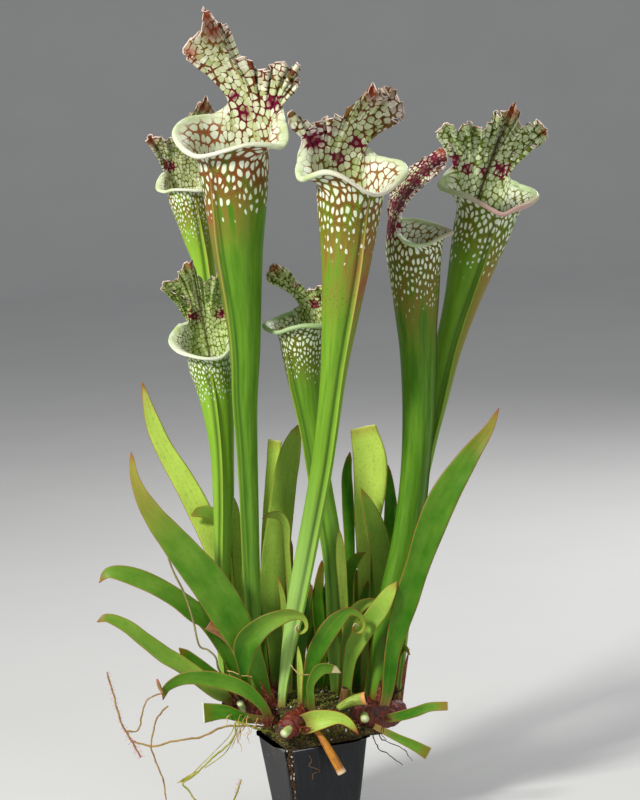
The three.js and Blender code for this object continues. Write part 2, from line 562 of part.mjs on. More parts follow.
// Leaves: spine rows are [across, down, depth, half width], from the foot to the tip or the cut.
const LEAVES = {
  leaf_upper_left: { twist: [0, 20], camber: 0.1, spine: [[259, 710, 28, 3], [250, 660, 26, 6],
    [235, 600, 28, 10], [215, 545, 36, 12], [200, 512, 41, 12], [183, 480, 43, 11], [165, 450, 43, 9],
    [152, 420, 41, 7], [142, 382, 37, 1]] },
  leaf_big_left: { twist: [10, -15], spine: [[271, 709, -9, 4], [255, 665, -27, 10], [235, 625, -34, 17],
    [210, 585, -37, 18], [180, 548, -38, 15], [152, 513, -38, 10], [136, 482, -36, 5], [131, 452, -32, 1.5]] },
  leaf_arch_left: { twist: [0, 25], spine: [[246, 700, -5, 4], [228, 655, -8, 7], [208, 622, -10, 9],
    [195, 612, -12, 10], [175, 597, -14, 9], [150, 583, -16, 9], [125, 574, -17, 8], [108, 573, -17, 5],
    [99, 583, -17, 1]] },
  leaf_curled_left: { twist: [0, 30], spine: [[234, 708, -3, 3], [228, 699, -11, 5], [215, 690, -14, 8],
    [185, 667, -15, 8], [165, 655, -16, 8], [145, 640, -16, 7], [125, 625, -16, 6], [107, 618, -16, 4],
    [97, 622, -15, 2]] },
  leaf_low_left: { twist: [10, -20], spine: [[272, 724, -24, 4], [262, 705, -31, 5], [245, 690, -34, 7],
    [225, 682, -33, 8], [203, 678, -31, 7.5], [183, 679, -28, 6], [167, 688, -26, 4], [163, 700, -24, 1.5]] },
  leaf_cut_left: { twist: [0, 0], thick: 2, spine: [[266, 720, -17, 4], [245, 718, -22, 5], [225, 712, -23, 7],
    [203, 713, -24, 10]] },
  leaf_dark_left: { spine: [[238, 702, 1, 3], [222, 682, -3, 5], [205, 668, -6, 5], [190, 658, -7, 6],
    [179, 648, -7, 3]] },
  leaf_curly_front: { twist: [0, 35], camber: 0.45, spine: [[256, 712, -8, 3], [250, 696, -20, 3.5],
    [245, 680, -31, 4], [244, 668, -37, 6], [246, 645, -45, 12], [262, 627, -47, 10], [285, 616, -47, 7], [300, 617, -46, 6],
    [306, 626, -44, 2]] },
  leaf_curly_middle: { twist: [0, 30], camber: 0.35, spine: [[305, 718, -31, 4], [309, 675, -37, 6],
    [318, 648, -39, 9], [333, 625, -40, 9], [348, 614, -39, 5], [360, 617, -38, 4], [364, 628, -36, 1.5]] },
  leaf_short_arch: { twist: [0, 20], camber: 0.3, spine: [[314, 720, -37, 3], [311, 700, -43, 3.5], [311, 684, -46, 4],
    [320, 670, -48, 6], [332, 669, -48, 4.5], [341, 673, -46, 1.5]] },
  leaf_over_rim: { twist: [0, -20], camber: 0.45, spine: [[296, 728, -43, 7], [303, 725, -47, 10],
    [318, 720, -53, 10], [338, 718, -55, 6], [350, 724, -56, 4], [359, 735, -55, 1]] },
  leaf_bright_right: { twist: [0, -20], spine: [[345, 710, -13, 4], [349, 665, -21, 6], [355, 645, -25, 9],
    [368, 625, -27, 9], [380, 608, -28, 9], [390, 592, -29, 6], [397, 581, -29, 1]] },
  leaf_folded_right: { twist: [20, 30], camber: 0.4, spine: [[340, 711, -7, 3.5], [345, 660, -11, 5],
    [350, 630, -13, 7], [357, 610, -14, 7], [370, 602, -15, 4], [384, 602, -16, 1]] },
  leaf_big_right: { twist: [15, -15], spine: [[383, 712, -14.5, 4], [388, 690, -18, 6], [393, 650, -22, 8], [405, 605, -26, 12],
    [418, 565, -29, 12], [430, 530, -31, 14], [445, 495, -32, 14], [468, 458, -30, 10], [488, 430, -27, 5],
    [499, 408, -24, 1]] },
  leaf_cut_right: { spine: [[378, 717, -13, 3.5], [389, 718, -20, 4.5], [400, 716, -25, 5], [415, 712, -28, 5], [430, 707, -29, 4.5],
    [448, 706, -30, 4]] },
  leaf_cut_low_right: { spine: [[374, 726, -22, 3], [388, 733, -30, 3.5], [400, 739, -34, 4],
    [415, 746, -37, 5], [429, 754, -38, 6]] },
  leaf_curled_right: { spine: [[392, 700, 12, 3], [396, 662, 12, 4], [399, 652, 10, 4], [405, 648, 8, 3],
    [410, 655, 6, 1.5]] },
  leaf_upright_middle: { twist: [15, -10], spine: [[277, 704, 25, 4], [275, 650, 30, 7], [272, 600, 34, 12],
    [275, 560, 36, 14], [280, 520, 38, 13], [285, 480, 38, 12], [291, 450, 38, 10], [298, 425, 36, 3]] },
  leaf_cut_tall: { spine: [[262, 704, 38, 3], [264, 620, 46, 4], [265, 560, 49, 4.5], [268, 510, 51, 5],
    [272, 470, 52, 6], [275, 440, 52, 7]] },
  leaf_wide_back: { twist: [10, 0], spine: [[362, 714, 30, 5], [363, 640, 34, 6], [364, 600, 36, 6],
    [364, 545, 38, 8], [367, 520, 39, 13], [370, 490, 40, 16], [370, 460, 40, 17], [363, 427, 38, 13]] },
  leaf_dark_back: { twist: [0, 15], spine: [[364, 716, 18, 4], [375, 650, 22, 5], [380, 600, 26, 7],
    [382, 565, 28, 10], [378, 535, 29, 10], [370, 510, 28, 7], [361, 488, 26, 1]] },
  leaf_dark_far: { spine: [[349, 704, 38, 3], [350, 620, 44, 4], [350, 560, 47, 5], [348, 505, 50, 6],
    [347, 475, 50, 5], [350, 452, 48, 2]] },
  leaf_arched_middle: { spine: [[343, 704, 24, 4], [344, 650, 27, 6], [345, 620, 28, 8], [347, 580, 27, 7],
    [355, 560, 25, 5], [366, 552, 22, 1.5]] },
  leaf_small_light: { spine: [[350, 704, 2, 2.5], [345, 620, 0, 4], [341, 563, -2, 5], [340, 545, -3, 4],
    [339, 528, -3, 1]] },
  leaf_narrow_left: { camber: 0.3, spine: [[251, 704, 17, 3], [244, 620, 18, 5], [238, 570, 25, 5],
    [236, 540, 29, 5], [234, 510, 32, 5], [228, 488, 33, 1]] },
  leaf_arching_light: { spine: [[290, 704, 12, 2.5], [290, 600, 18, 3], [287, 548, 20, 3], [286, 527, 20, 4],
    [280, 516, 19, 4], [270, 515, 18, 3], [262, 519, 17, 1]] },
  leaf_band_left: { twist: [0, 10], spine: [[240, 709, 15, 2.5], [232, 640, 23, 3], [228, 580, 27, 3],
    [224, 535, 33, 4], [212, 514, 34, 6], [200, 512, 33, 5.5], [191, 516, 31, 3]] },
  leaf_tiny_middle: { spine: [[283, 704, 4, 2], [285, 640, 6, 3], [283, 600, 7, 3], [277, 575, 7, 1]] },
  leaf_dark_right: { spine: [[357, 718, 39, 3.5], [366, 690, 41, 4.5], [380, 620, 44, 6], [388, 560, 47, 7], [391, 520, 49, 7],
    [390, 490, 50, 5], [388, 465, 50, 1.5]] },
  shoot_pale: { camber: 0.4, spine: [[301, 714, -25, 2.5], [300, 670, -29, 3], [298, 646, -30, 1]] },
};

// Old cut and dried stems.
const STEMS = {
  stub_brown_left: { sides: 7, hollow: 8, spine: [[247, 704, -8.5, 2.6], [242, 668, -17, 3], [235, 650, -19, 3.5],
    [225, 636, -20, 4.5], [208, 624, -20, 6]] },
  stub_hollow_right: { sides: 9, hollow: 14, spine: [[338, 708, -30, 3], [352, 701, -34, 5], [366, 698, -36, 6.5]] },
  stub_orange_front: { sides: 8, hollow: 10, spine: [[306, 724, -40, 2.5], [318, 733, -46, 2.8],
    [329, 750, -52, 4], [342, 773, -53, 4.5]] },
  stub_small_middle: { sides: 7, hollow: 6, spine: [[341, 708, -20, 3], [345, 688, -23, 3.5]] },
  stub_white_left: { sides: 8, spine: [[246, 712, -5, 3.2], [240, 703, -20, 3.4]] },
  stub_white_front: { sides: 8, spine: [[290, 728, -52, 4], [284, 734, -62, 4.2]] },
  stub_white_right: { sides: 8, spine: [[364, 714, -18, 4], [365, 719, -28, 4.2]] },
  stalk_dried: { sides: 5, spine: [[240, 700, -8.5, 1.2], [220, 672, -21, 1.1], [216, 658, -25, 1],
    [208, 650, -25, 1], [199, 645, -25, 1], [193, 620, -25, 1], [185, 595, -25, 1], [175, 575, -25, 1],
    [168, 558, -25, 0.8]] },
};

// Small neighbours whose thin stems branch: each is a list of stems fused into one body.
const WEEDS = {
  sundew: [
    { sides: 5, spine: [[268, 727, -14, 1.4], [250, 726, -24, 1.3], [224, 727, -31, 1.3], [200, 737, -34, 1.3], [175, 741, -33, 1.3],
      [152, 746, -32, 1.3], [131, 740, -31, 1.2]] },
    { sides: 5, count: 8, spine: [[107, 672, -28, 1], [112, 690, -30, 1.2], [118, 712, -31, 1.2],
      [124, 728, -31, 1.2], [132, 742, -31, 1.2], [141, 757, -31, 1]] },
    { sides: 5, spine: [[126, 731, -31, 1.1], [138, 730, -31, 1], [142, 715, -31, 1], [148, 699, -30, 1],
      [162, 693, -29, 1]] },
    { sides: 5, spine: [[168, 706, -31, 1.2], [161, 713, -32, 1.1], [155, 724, -32, 1.1], [151, 746, -32, 1.1],
      [155, 760, -32, 1], [163, 780, -32, 1], [166, 800, -32, 0.8]] },
  ],
  weed_stem: [
    { sides: 5, count: 10, spine: [[272, 732, -24, 1.4], [255, 728, -36, 1.3], [236, 722, -43, 1.3], [235, 735, -44, 1.2],
      [225, 748, -44, 1.2], [212, 758, -43, 1.2], [200, 770, -43, 1.2], [183, 783, -42, 1.1],
      [188, 790, -42, 1.1], [195, 800, -42, 0.9]] },
  ],
};

const fuse = (list) => list.reduce((all, s) => all.add(s));

const bodies = {};
for (const [name, p] of Object.entries(PITCHERS)) bodies[name] = pitcher(p);
for (const [name, l] of Object.entries(LEAVES)) bodies[name] = leaf(l);
for (const [name, s] of Object.entries(STEMS)) bodies[name] = stem(s);
for (const [name, list] of Object.entries(WEEDS)) bodies[name] = fuse(list.map((s) => stem(s)));

// Every plant stands in a plain hole of its own in the rhizomes, moss and mix.
const holes = fuse([
  ...Object.values(PITCHERS).map((p) => pitcherFoot(p, GAP)),
  ...Object.values(LEAVES).map((l) => leaf(l, GAP)),
  ...Object.values(STEMS).map((s) => stem(s, GAP)),
  ...Object.values(WEEDS).flatMap((list) => stem(list[0], GAP)),
]);
const rhizomeHoles = fuse(Object.values(RHIZOMES).map((r) => stem(r, GAP)));
const rimRoom = potBlock(-GAP, MIX_TOP - 20, POT_H + GAP);
for (const [name, r] of Object.entries(RHIZOMES)) bodies[name] = stem(r).subtract(holes).subtract(rimRoom);
bodies.moss = moss().subtract(holes).subtract(rhizomeHoles);
bodies.potting_mix = pottingMix().subtract(holes).subtract(rhizomeHoles);
bodies.pot = pot();

const COLOURS = {
  pot: 0x26292c, potting_mix: 0x4a3524, moss: 0x6d7230, rhizome: 0x5c2216, stub: 0x8a5a30, stalk: 0x6b4a2a,
  pitcher: 0x6f8f33, leaf: 0x4f8a25, shoot: 0xc8d890, sundew: 0xa8562a, weed: 0x6f8a3c,
};

function meshOf(name, body) {
  const raw = body.getMesh();
  const geometry = new THREE.BufferGeometry();
  const flat = new Float32Array(raw.numVert * 3);
  for (let i = 0; i < raw.numVert; i++) {
    for (let c = 0; c < 3; c++) flat[i * 3 + c] = raw.vertProperties[i * raw.numProp + c];
  }
  geometry.setAttribute("position", new THREE.BufferAttribute(flat, 3));
  geometry.setIndex(new THREE.BufferAttribute(raw.triVerts, 1));
  geometry.computeVertexNormals();
  const colour = COLOURS[name] ?? COLOURS[name.split("_")[0]];
  const mesh = new THREE.Mesh(geometry, new THREE.MeshStandardMaterial({ color: colour, roughness: 0.6 }));
  mesh.name = name;
  return mesh;
}

const plant = new THREE.Group();
for (const [name, body] of Object.entries(bodies)) plant.add(meshOf(name, body));

export default plant;
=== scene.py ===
# Looks of a potted pitcher plant: seven pitchers, their leaves and small neighbours in a nursery pot.
# Shapes are worked out in millimetres, +Z up, and become metres as each piece is made.
import math
from types import SimpleNamespace

import bmesh
import bpy
import numpy as np
from mathutils import Matrix, Vector, noise


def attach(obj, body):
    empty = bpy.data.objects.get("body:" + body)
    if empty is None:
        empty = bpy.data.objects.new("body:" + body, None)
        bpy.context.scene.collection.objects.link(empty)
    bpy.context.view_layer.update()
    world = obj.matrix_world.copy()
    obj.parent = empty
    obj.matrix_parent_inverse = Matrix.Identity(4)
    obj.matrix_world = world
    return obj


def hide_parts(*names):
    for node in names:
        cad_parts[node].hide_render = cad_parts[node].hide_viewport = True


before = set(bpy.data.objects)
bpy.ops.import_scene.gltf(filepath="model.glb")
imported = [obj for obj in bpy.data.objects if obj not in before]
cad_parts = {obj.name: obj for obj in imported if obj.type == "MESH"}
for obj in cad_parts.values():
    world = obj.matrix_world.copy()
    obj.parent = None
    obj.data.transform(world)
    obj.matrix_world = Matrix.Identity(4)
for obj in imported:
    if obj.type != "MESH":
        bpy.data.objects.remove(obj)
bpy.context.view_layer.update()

MM = 0.001

# The pot, turned by POT_TURN degrees, and the gap between it and what fills it.
POT_TOP = 88
POT_FOOT = 66
POT_H = 95
POT_WALL = 1.3
POT_FLOOR = 2
POT_CORNER = 9
POT_TURN = 22
SPLIT_TOP = 9
SPLIT_DEEP = 72
GAP = 0.35

# The layout board, as the viewer sees it: points are [across, down, depth], in mm. RIM is where the middle of
# the pot's rim lies on it, and AIM is what the camera looks at.
RIM = [312, 734]
AIM = [320, 400]
VIEW_DOWN = math.radians(8)
VIEW_ROLL = math.radians(3)
VIEW_FAR = 2200
AHEAD = np.array([0, math.cos(VIEW_DOWN), -math.sin(VIEW_DOWN)])
TIPPED = np.array([0, math.sin(VIEW_DOWN), math.cos(VIEW_DOWN)])
ACROSS = np.array([1.0, 0, 0])
RIGHT = ACROSS * math.cos(VIEW_ROLL) - TIPPED * math.sin(VIEW_ROLL)
UP = ACROSS * math.sin(VIEW_ROLL) + TIPPED * math.cos(VIEW_ROLL)
CENTRE = np.array([0, 0, POT_H]) + RIGHT * (AIM[0] - RIM[0]) + UP * (RIM[1] - AIM[1])
EYE = CENTRE - AHEAD * VIEW_FAR


def unit(v):
    return v / np.maximum(np.linalg.norm(v, axis=-1, keepdims=True), 1e-9)


def dot(a, b):
    return (a * b).sum(-1, keepdims=True)


def smooth(t):
    t = np.clip(t, 0, 1)
    return t * t * (3 - 2 * t)


def mix(a, b, t):
    return a + (b - a) * t


def place(points):
    """Board points to points in space."""
    p = np.atleast_2d(np.asarray(points, float))
    seen = RIGHT * (p[:, :1] - AIM[0]) + UP * (AIM[1] - p[:, 1:2])
    reach = (p[:, 2:3] - CENTRE[1] - seen[:, 1:2]) / (AHEAD[1] + seen[:, 1:2] / VIEW_FAR)
    return CENTRE + seen * (1 + reach / VIEW_FAR) + AHEAD * reach


def on_board(points):
    """Points in space to [across, down] on the board."""
    d = points - EYE
    k = VIEW_FAR / dot(d, AHEAD)
    return np.column_stack([AIM[0] + (dot(d, RIGHT) * k)[:, 0], AIM[1] - (dot(d, UP) * k)[:, 0]])


def curve(points, t):
    """A smooth curve through rows of numbers, read at t from 0 to the last row's index."""
    points = np.asarray(points, float)
    n = len(points) - 1
    t = np.asarray(t, float)
    i = np.clip(t.astype(int), 0, n - 1)
    f = (t - i)[:, None]
    ends = np.vstack([2 * points[0] - points[1], points, 2 * points[-1] - points[-2]])
    p, q, r, s = (ends[i + k] for k in range(4))
    return 0.5 * (2 * q + (r - p) * f + (2 * p - 5 * q + 4 * r - s) * f**2 + (3 * q - p - 3 * r + s) * f**3)


def steps(points, count):
    """The same curve cut into equal steps along its length on the board."""
    last = len(points) - 1
    fine = curve(points, np.linspace(0, last, last * 24 + 1))
    far = lengths(fine[:, :3])
    want = np.linspace(0, far[-1], count)
    return np.column_stack([np.interp(want, far, fine[:, c]) for c in range(fine.shape[1])])


def directions(places, reach=1):
    """The way along a line of places, taken between neighbours `reach` rows apart."""
    i = np.arange(len(places))
    ahead = places[np.minimum(i + reach, len(places) - 1)]
    return unit(ahead - places[np.maximum(i - reach, 0)])


def lengths(places):
    """How far along a line each of its places is."""
    return np.r_[0, np.cumsum(np.linalg.norm(np.diff(places, axis=0), axis=1))]


def waves(points, size, seed=0, octaves=3):
    """Soft random values from about -1 to 1 at points in space, for lumps of that size."""
    shift = Vector((seed * 17.3, seed * 5.1, seed * 9.7))
    return np.array([noise.fractal(Vector(p) / size + shift, 0.8, 2.0, octaves) for p in points.tolist()])


class Skin:
    """Collects the points and faces of one piece, with named values on its points."""

    def __init__(self):
        self.points, self.faces, self.values, self.count = [], [], [], 0

    def add(self, points, **values):
        points = np.atleast_2d(points)
        ids = np.arange(self.count, self.count + len(points))
        self.points.append(points)
        self.values.append(values)
        self.count += len(points)
        return ids

    def band(self, a, b, closed=True):
        """Faces between two rows of points of equal count."""
        if closed:
            a, b = np.r_[a, a[:1]], np.r_[b, b[:1]]
        self.faces.append(np.column_stack([a[:-1], a[1:], b[1:], b[:-1]]))

    def grid(self, rows, closed=True):
        for a, b in zip(rows[:-1], rows[1:]):
            self.band(a, b, closed)

    def fan(self, ring, middle, **values):
        centre = self.add(middle, **values)
        self.faces.append(np.column_stack([ring, np.roll(ring, -1), np.full(len(ring), centre[0])]))

    def knit(self, a, a_turns, b, b_turns):
        """Joins two rings of any counts. Both start at the same turn."""
        i, j, made = 0, 0, []
        while i < len(a) or j < len(b):
            next_a = (a_turns[i + 1] if i + 1 < len(a) else 1) if i < len(a) else 2
            next_b = (b_turns[j + 1] if j + 1 < len(b) else 1) if j < len(b) else 2
            p, q = a[i % len(a)], b[j % len(b)]
            if next_a <= next_b:
                i += 1
                made.append([p, a[i % len(a)], q])
            else:
                j += 1
                made.append([p, b[j % len(b)], q])
        self.faces.append(np.array(made))


def build_mesh(name, skin):
    """The skin as a smooth mesh in metres, all faces outward."""
    mesh = bpy.data.meshes.new(name)
    points = np.vstack(skin.points)
    mesh.vertices.add(len(points))
    mesh.vertices.foreach_set("co", (points * MM).astype(np.float32).ravel())
    loops = np.concatenate([faces.ravel() for faces in skin.faces]).astype(np.int32)
    sizes = np.concatenate([np.full(len(faces), faces.shape[1]) for faces in skin.faces])
    mesh.loops.add(len(loops))
    mesh.loops.foreach_set("vertex_index", loops)
    mesh.polygons.add(len(sizes))
    mesh.polygons.foreach_set("loop_start", np.r_[0, np.cumsum(sizes)[:-1]].astype(np.int32))
    mesh.polygons.foreach_set("use_smooth", np.ones(len(sizes), bool))
    mesh.update(calc_edges=True)
    work = bmesh.new()
    work.from_mesh(mesh)
    bmesh.ops.recalc_face_normals(work, faces=work.faces)
    work.to_mesh(mesh)
    work.free()
    return mesh


def write_values(mesh, skin):
    """Each named value as an attribute of the points: plain numbers, or vectors of three."""
    for key in sorted({k for values in skin.values for k in values}):
        parts = []
        for points, values in zip(skin.points, skin.values):
            part = np.asarray(values.get(key, 0.0), float)
            parts.append(part if part.ndim else np.full(len(points), part))
        if any(part.ndim == 2 for part in parts):
            parts = [part if part.ndim == 2 else np.zeros((len(part), 3)) for part in parts]
            layer, field = mesh.attributes.new(key, "FLOAT_VECTOR", "POINT"), "vector"
        else:
            layer, field = mesh.attributes.new(key, "FLOAT", "POINT"), "value"
        layer.data.foreach_set(field, np.concatenate(parts).astype(np.float32).ravel())


def make_piece(name, skin, material, nodes=()):
    """The skin as one piece of the plant, in place of the CAD nodes that are named."""
    mesh = build_mesh(name, skin)
    write_values(mesh, skin)
    mesh.materials.append(material)
    obj = bpy.data.objects.new(name, mesh)
    bpy.context.scene.collection.objects.link(obj)
    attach(obj, "root")
    if nodes:
        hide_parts(*nodes)


# Spines run foot first, as rows of [across, down, depth, radius or half width].
RHIZOMES = {
    "rhizome_left": dict(seed=1, spine=[[292, 716, 0, 8], [276, 706, -3, 13], [258, 704, 0, 15],
        [244, 703, 4, 15], [230, 706, 9, 10], [222, 704, 10, 5]]),
    "rhizome_back": dict(seed=4, spine=[[278, 706, 38, 6], [262, 706, 37, 10], [244, 706, 34, 10],
        [231, 708, 35, 6]]),
    "rhizome_right": dict(seed=2, spine=[[334, 716, -6, 8], [350, 712, -8, 12], [368, 712, -8, 14],
        [384, 713, -3, 14], [394, 711, 14, 12], [399, 710, 32, 8]]),
    "rhizome_front": dict(seed=3, spine=[[304, 712, -26, 7], [299, 718, -34, 10], [292, 724, -42, 11],
        [286, 731, -49, 9], [283, 738, -53, 4]]),
}

# Each pitcher's edge is drawn as its lip, from left to right over the front, and its lid, from left to right
# over the tip, whose place in the list is `tip`. Their depths are from the mouth's own. The front faces
# `facing` degrees to the right of the viewer, with a wing `fin` mm high. The net reaches `spots` mm down the
# tube. Tan is its reach, its strength and the turn where it ends. Wine and dry patches are [across, down,
# reach]. The rest are shares from 0 to 1 of a tint, but a rib below 0 is a dark keel. Of these, `light` is
# partly the wall's own green and partly painted light and shade, high where a pitcher stands in the light
# and low where it is shaded, and `shade` paints the wing's ridge dark as painted shade.
PITCHERS = {
    "pitcher_tall_left": dict(
        facing=-42, fin=4.5, tip=9, spots=52, tan=[70, 0.85, 0.64], light=0.22, blue=0.15, warm=0.95,
        pink=0.1, rosy=0.35, flank=0.6, rib=0.8,
        wine=[[273, 102, 9], [234, 96, 6], [247, 112, 9]],
        dry=[[204, 14, 13], [213, 32, 9], [190, 54, 7]],
        spine=[[254, 706, 6, 5.5], [254, 640, 5, 7.5], [251, 550, 3, 8.5], [247, 450, 2, 10.5],
            [245, 400, 1, 12.5], [245, 350, 0, 15], [242, 300, 0, 19], [238, 250, 0, 24.5],
            [236, 205, 0, 30], [234, 170, 0, 34]],
        lip=[[222, 109, 38], [205, 114, 34], [190, 116, 22], [179, 122, 10], [174, 131, 0], [179, 142, -14],
            [188, 150, -27], [198, 154, -36], [212, 152, -42], [230, 147, -44], [250, 142, -42],
            [267, 142, -37], [282, 144, -29], [287, 136, -20], [285, 124, -12], [283, 111, -5]],
        lid=[[232, 98, 34], [229, 85, 30], [222, 73, 34], [212, 61, 24], [200, 57, 30], [189, 58, 22],
            [182, 50, 20], [192, 37, 10], [201, 31, -8], [204, 9, -30], [210, 21, -16], [222, 25, -14],
            [221, 39, 2], [227, 48, -6], [235, 54, 8], [245, 58, -2], [255, 66, 8], [265, 70, -4],
            [275, 64, -2], [284, 61, -14], [292, 70, -6], [301, 63, -20], [298, 75, -12], [297, 84, -14],
            [289, 91, -4], [282, 98, 0]],
    ),
    "pitcher_centre": dict(
        facing=33, fin=4, tip=12, spots=66, tan=[120, 0.85, 2], light=0.5, blue=1, warm=0.8, cool=0.1,
        pink=0.3, rosy=0.9, flank=0.6, rib=0.2,
        wine=[[314, 141, 13], [356, 142, 8], [338, 158, 8]],
        dry=[[371, 90, 9], [391, 86, 5]],
        spine=[[282, 712, -14, 4.5], [284, 680, -15, 5], [297, 600, -19, 9.5], [318, 490, -25, 10.5],
            [327, 430, -28, 11], [334, 370, -31, 13], [342, 300, -35, 19.5], [346, 260, -37, 24],
            [350, 196, -40, 32]],
        lip=[[299, 152, -2], [297, 168, -10], [300, 176, -18], [310, 173, -28], [325, 169, -38],
            [340, 173, -43], [355, 183, -45], [368, 191, -44], [378, 193, -38], [390, 188, -28],
            [400, 178, -14], [407, 168, 0], [401, 160, 12], [386, 157, 24], [372, 151, 32]],
        lid=[[302, 140, 2], [298, 130, 4], [290, 124, -2], [287, 113, -8], [293, 114, 2], [300, 118, -4],
            [307, 126, 6], [315, 124, -2], [322, 118, 8], [335, 117, 0], [345, 113, 6], [354, 104, -4],
            [372, 87, -22], [380, 92, -12], [386, 94, -6], [391, 85, 0], [397, 94, 2], [404, 108, 8],
            [402, 119, 20], [392, 119, 14], [380, 120, 26], [370, 126, 22], [363, 140, 32]],
    ),
    "pitcher_back_left": dict(
        facing=20, fin=3.5, tip=10, spots=50, tan=[50, 0.45, 2], light=1, blue=0.3, warm=0.62, rosy=0.4,
        flank=0.3, rib=0.3,
        wine=[[171, 166, 6]],
        dry=[[205, 104, 9], [149, 140, 6]],
        spine=[[238, 704, 32, 5], [233, 600, 42, 7], [222, 450, 58, 8.5], [212, 330, 76, 9],
            [205, 270, 85, 10.5], [199, 240, 90, 15], [190, 200, 95, 21]],
        lip=[[162, 175, 6], [157, 186, -2], [163, 190, -12], [172, 188, -20], [185, 188, -27],
            [200, 189, -29], [212, 188, -22], [221, 184, -10], [226, 177, 2], [219, 170, 14],
            [209, 166, 22]],
        lid=[[169, 166, 12], [166, 160, 12], [158, 154, 4], [149, 146, -2], [145, 140, -8], [151, 135, 0],
            [161, 138, -6], [170, 139, 4], [178, 128, -6], [188, 118, -16], [205, 98, -32], [212, 108, -22],
            [219, 116, -10], [227, 120, -4], [234, 128, 8], [228, 137, 14], [232, 147, 22], [222, 152, 20],
            [212, 157, 28], [200, 163, 26]],
    ),
    "pitcher_low_left": dict(
        facing=0, fin=4, tip=10, spots=40, tan=[20, 0.15, 2], light=0.85, blue=0.15, warm=0.25, cool=0.1,
        rib=-0.8,
        wine=[[195, 316, 6], [222, 314, 6]],
        dry=[[190, 263, 5]],
        spine=[[229, 712, 8, 4.5], [222, 640, 13, 5.5], [223, 550, 18, 8.5], [223.5, 500, 20, 10.5],
            [222, 450, 24, 12], [217, 400, 28, 17], [211, 368, 31, 21.5]],
        lip=[[186, 320, 12], [178, 327, 6], [172, 334, 0], [171, 341, -8], [178, 349, -17], [190, 354, -25],
            [205, 357, -29], [220, 356, -27], [229, 348, -20], [234, 341, -9], [235, 332, 2],
            [232, 322, 10]],
        lid=[[193, 313, 15], [190, 304, 6], [184, 297, 8], [176, 292, 0], [168, 291, -4], [160, 287, -10],
            [164, 281, -6], [172, 281, 2], [178, 277, -8], [181, 268, -14], [191, 260, -22],
            [196, 271, -12], [204, 281, -2], [214, 276, -8], [222, 271, -2], [229, 277, 8], [238, 281, 14],
            [240, 291, 14], [234, 299, 22], [230, 306, 20], [228, 313, 15]],
    ),
    "pitcher_small_centre": dict(
        facing=-50, fin=4, tip=7, spots=40, tan=[40, 0.3, 2], light=0.3, blue=0.2, warm=0.3, cool=0.9,
        flank=0.2, rib=0.2,
        wine=[[315, 304, 6]],
        dry=[[275, 266, 6]],
        spine=[[338, 706, 10, 6.5], [336, 600, 13, 9.5], [331, 540, 14, 10], [320, 480, 16, 11],
            [312, 430, 18, 12], [305, 380, 20, 17], [303, 345, 20, 22.5]],
        lip=[[292, 310, 24], [280, 315, 20], [270, 319, 12], [264, 323, 0], [269, 328, -10],
            [278, 330, -20], [290, 326, -27], [305, 323, -29], [320, 323, -27], [331, 321, -20],
            [336, 312, -10]],
        lid=[[302, 303, 20], [300, 294, 14], [292, 289, 20], [284, 285, 12], [275, 282, 14], [267, 279, 6],
            [267, 271, 0], [275, 263, -8], [282, 269, -2], [288, 279, 6], [296, 284, -2], [303, 291, 6],
            [310, 289, -4], [320, 286, -6], [330, 283, -14], [337, 288, -10], [338, 296, -12],
            [328, 303, -4]],
    ),
    "pitcher_profile": dict(
        facing=105, fin=4, tip=9, spots=64, tan=[90, 0.7, 2], light=0.14, blue=0.05, warm=0.45, shade=1,
        cool=0.6, pink=0.5, rosy=0.9, chalk=0.5, rib=0.2, frill=0.3,
        wine=[[386, 226, 14], [398, 206, 9], [406, 193, 8], [415, 181, 8], [425, 170, 8], [435, 160, 8]],
        dry=[[443, 150, 6]],
        spine=[[377, 708, -5, 7.5], [383, 650, 0, 11], [391, 600, 4, 12], [405, 540, 9, 13],
            [413, 480, 15, 13], [417, 420, 20, 14.5], [417, 360, 26, 16.5], [415.5, 320, 29, 19.5],
            [414, 252, 35, 28]],
        lip=[[398, 236, -33], [410, 243, -38], [425, 243, -33], [438, 237, -22], [448, 232, -8],
            [452, 230, 6], [446, 227, 20], [436, 223, 30], [420, 219, 36], [404, 217, 33]],
        lid=[[395, 226, -26], [399, 215, -34], [403, 206, -42], [409, 198, -38], [416, 190, -46],
            [425, 184, -38], [435, 175, -40], [441, 171, -28], [447, 164, -20], [447, 153, -4],
            [442, 147, 8], [433, 155, 20], [425, 157, 32], [416, 163, 30], [408, 169, 42], [400, 179, 36],
            [392, 190, 44], [388, 202, 34], [394, 213, 20]],
    ),
    "pitcher_far_right": dict(
        facing=25, fin=4, tip=15, spots=56, tan=[40, 0.3, 2], light=0.42, blue=0.3, warm=0.3, cool=0.5,
        pink=1, chalk=0.5, flank=0.9, rib=-1, frill=0.8,
        wine=[[455, 160, 7], [467, 168, 6], [501, 169, 8], [484, 172, 5]],
        dry=[[513, 108, 10], [545, 131, 4]],
        spine=[[395, 704, 30, 5.5], [415, 520, 48, 7], [427, 450, 56, 8], [438, 400, 62, 10],
            [448, 350, 68, 13.5], [462, 300, 75, 18], [476, 250, 82, 26], [483, 226, 85, 29.5]],
        lip=[[445, 173, 2], [440, 183, -8], [449, 188, -18], [464, 192, -30], [480, 200, -38],
            [494, 208, -42], [504, 212, -40], [516, 206, -32], [529, 201, -20], [537, 194, -6],
            [532, 188, 8], [520, 184, 20], [511, 177, 26]],
        lid=[[453, 165, 8], [451, 155, 8], [448, 147, 0], [441, 140, 4], [437, 133, -6], [441, 126, -2],
            [449, 123, -8], [457, 130, 2], [465, 122, -6], [472, 122, 2], [479, 128, -2], [487, 127, -10],
            [496, 112, -12], [501, 116, -18], [508, 108, -20], [514, 104, -26], [520, 113, -18],
            [519, 123, -8], [530, 125, -2], [541, 122, 10], [547, 131, 8], [546, 140, 18], [535, 145, 16],
            [525, 145, 26], [515, 150, 22], [508, 158, 28], [505, 166, 27]],
    ),
}
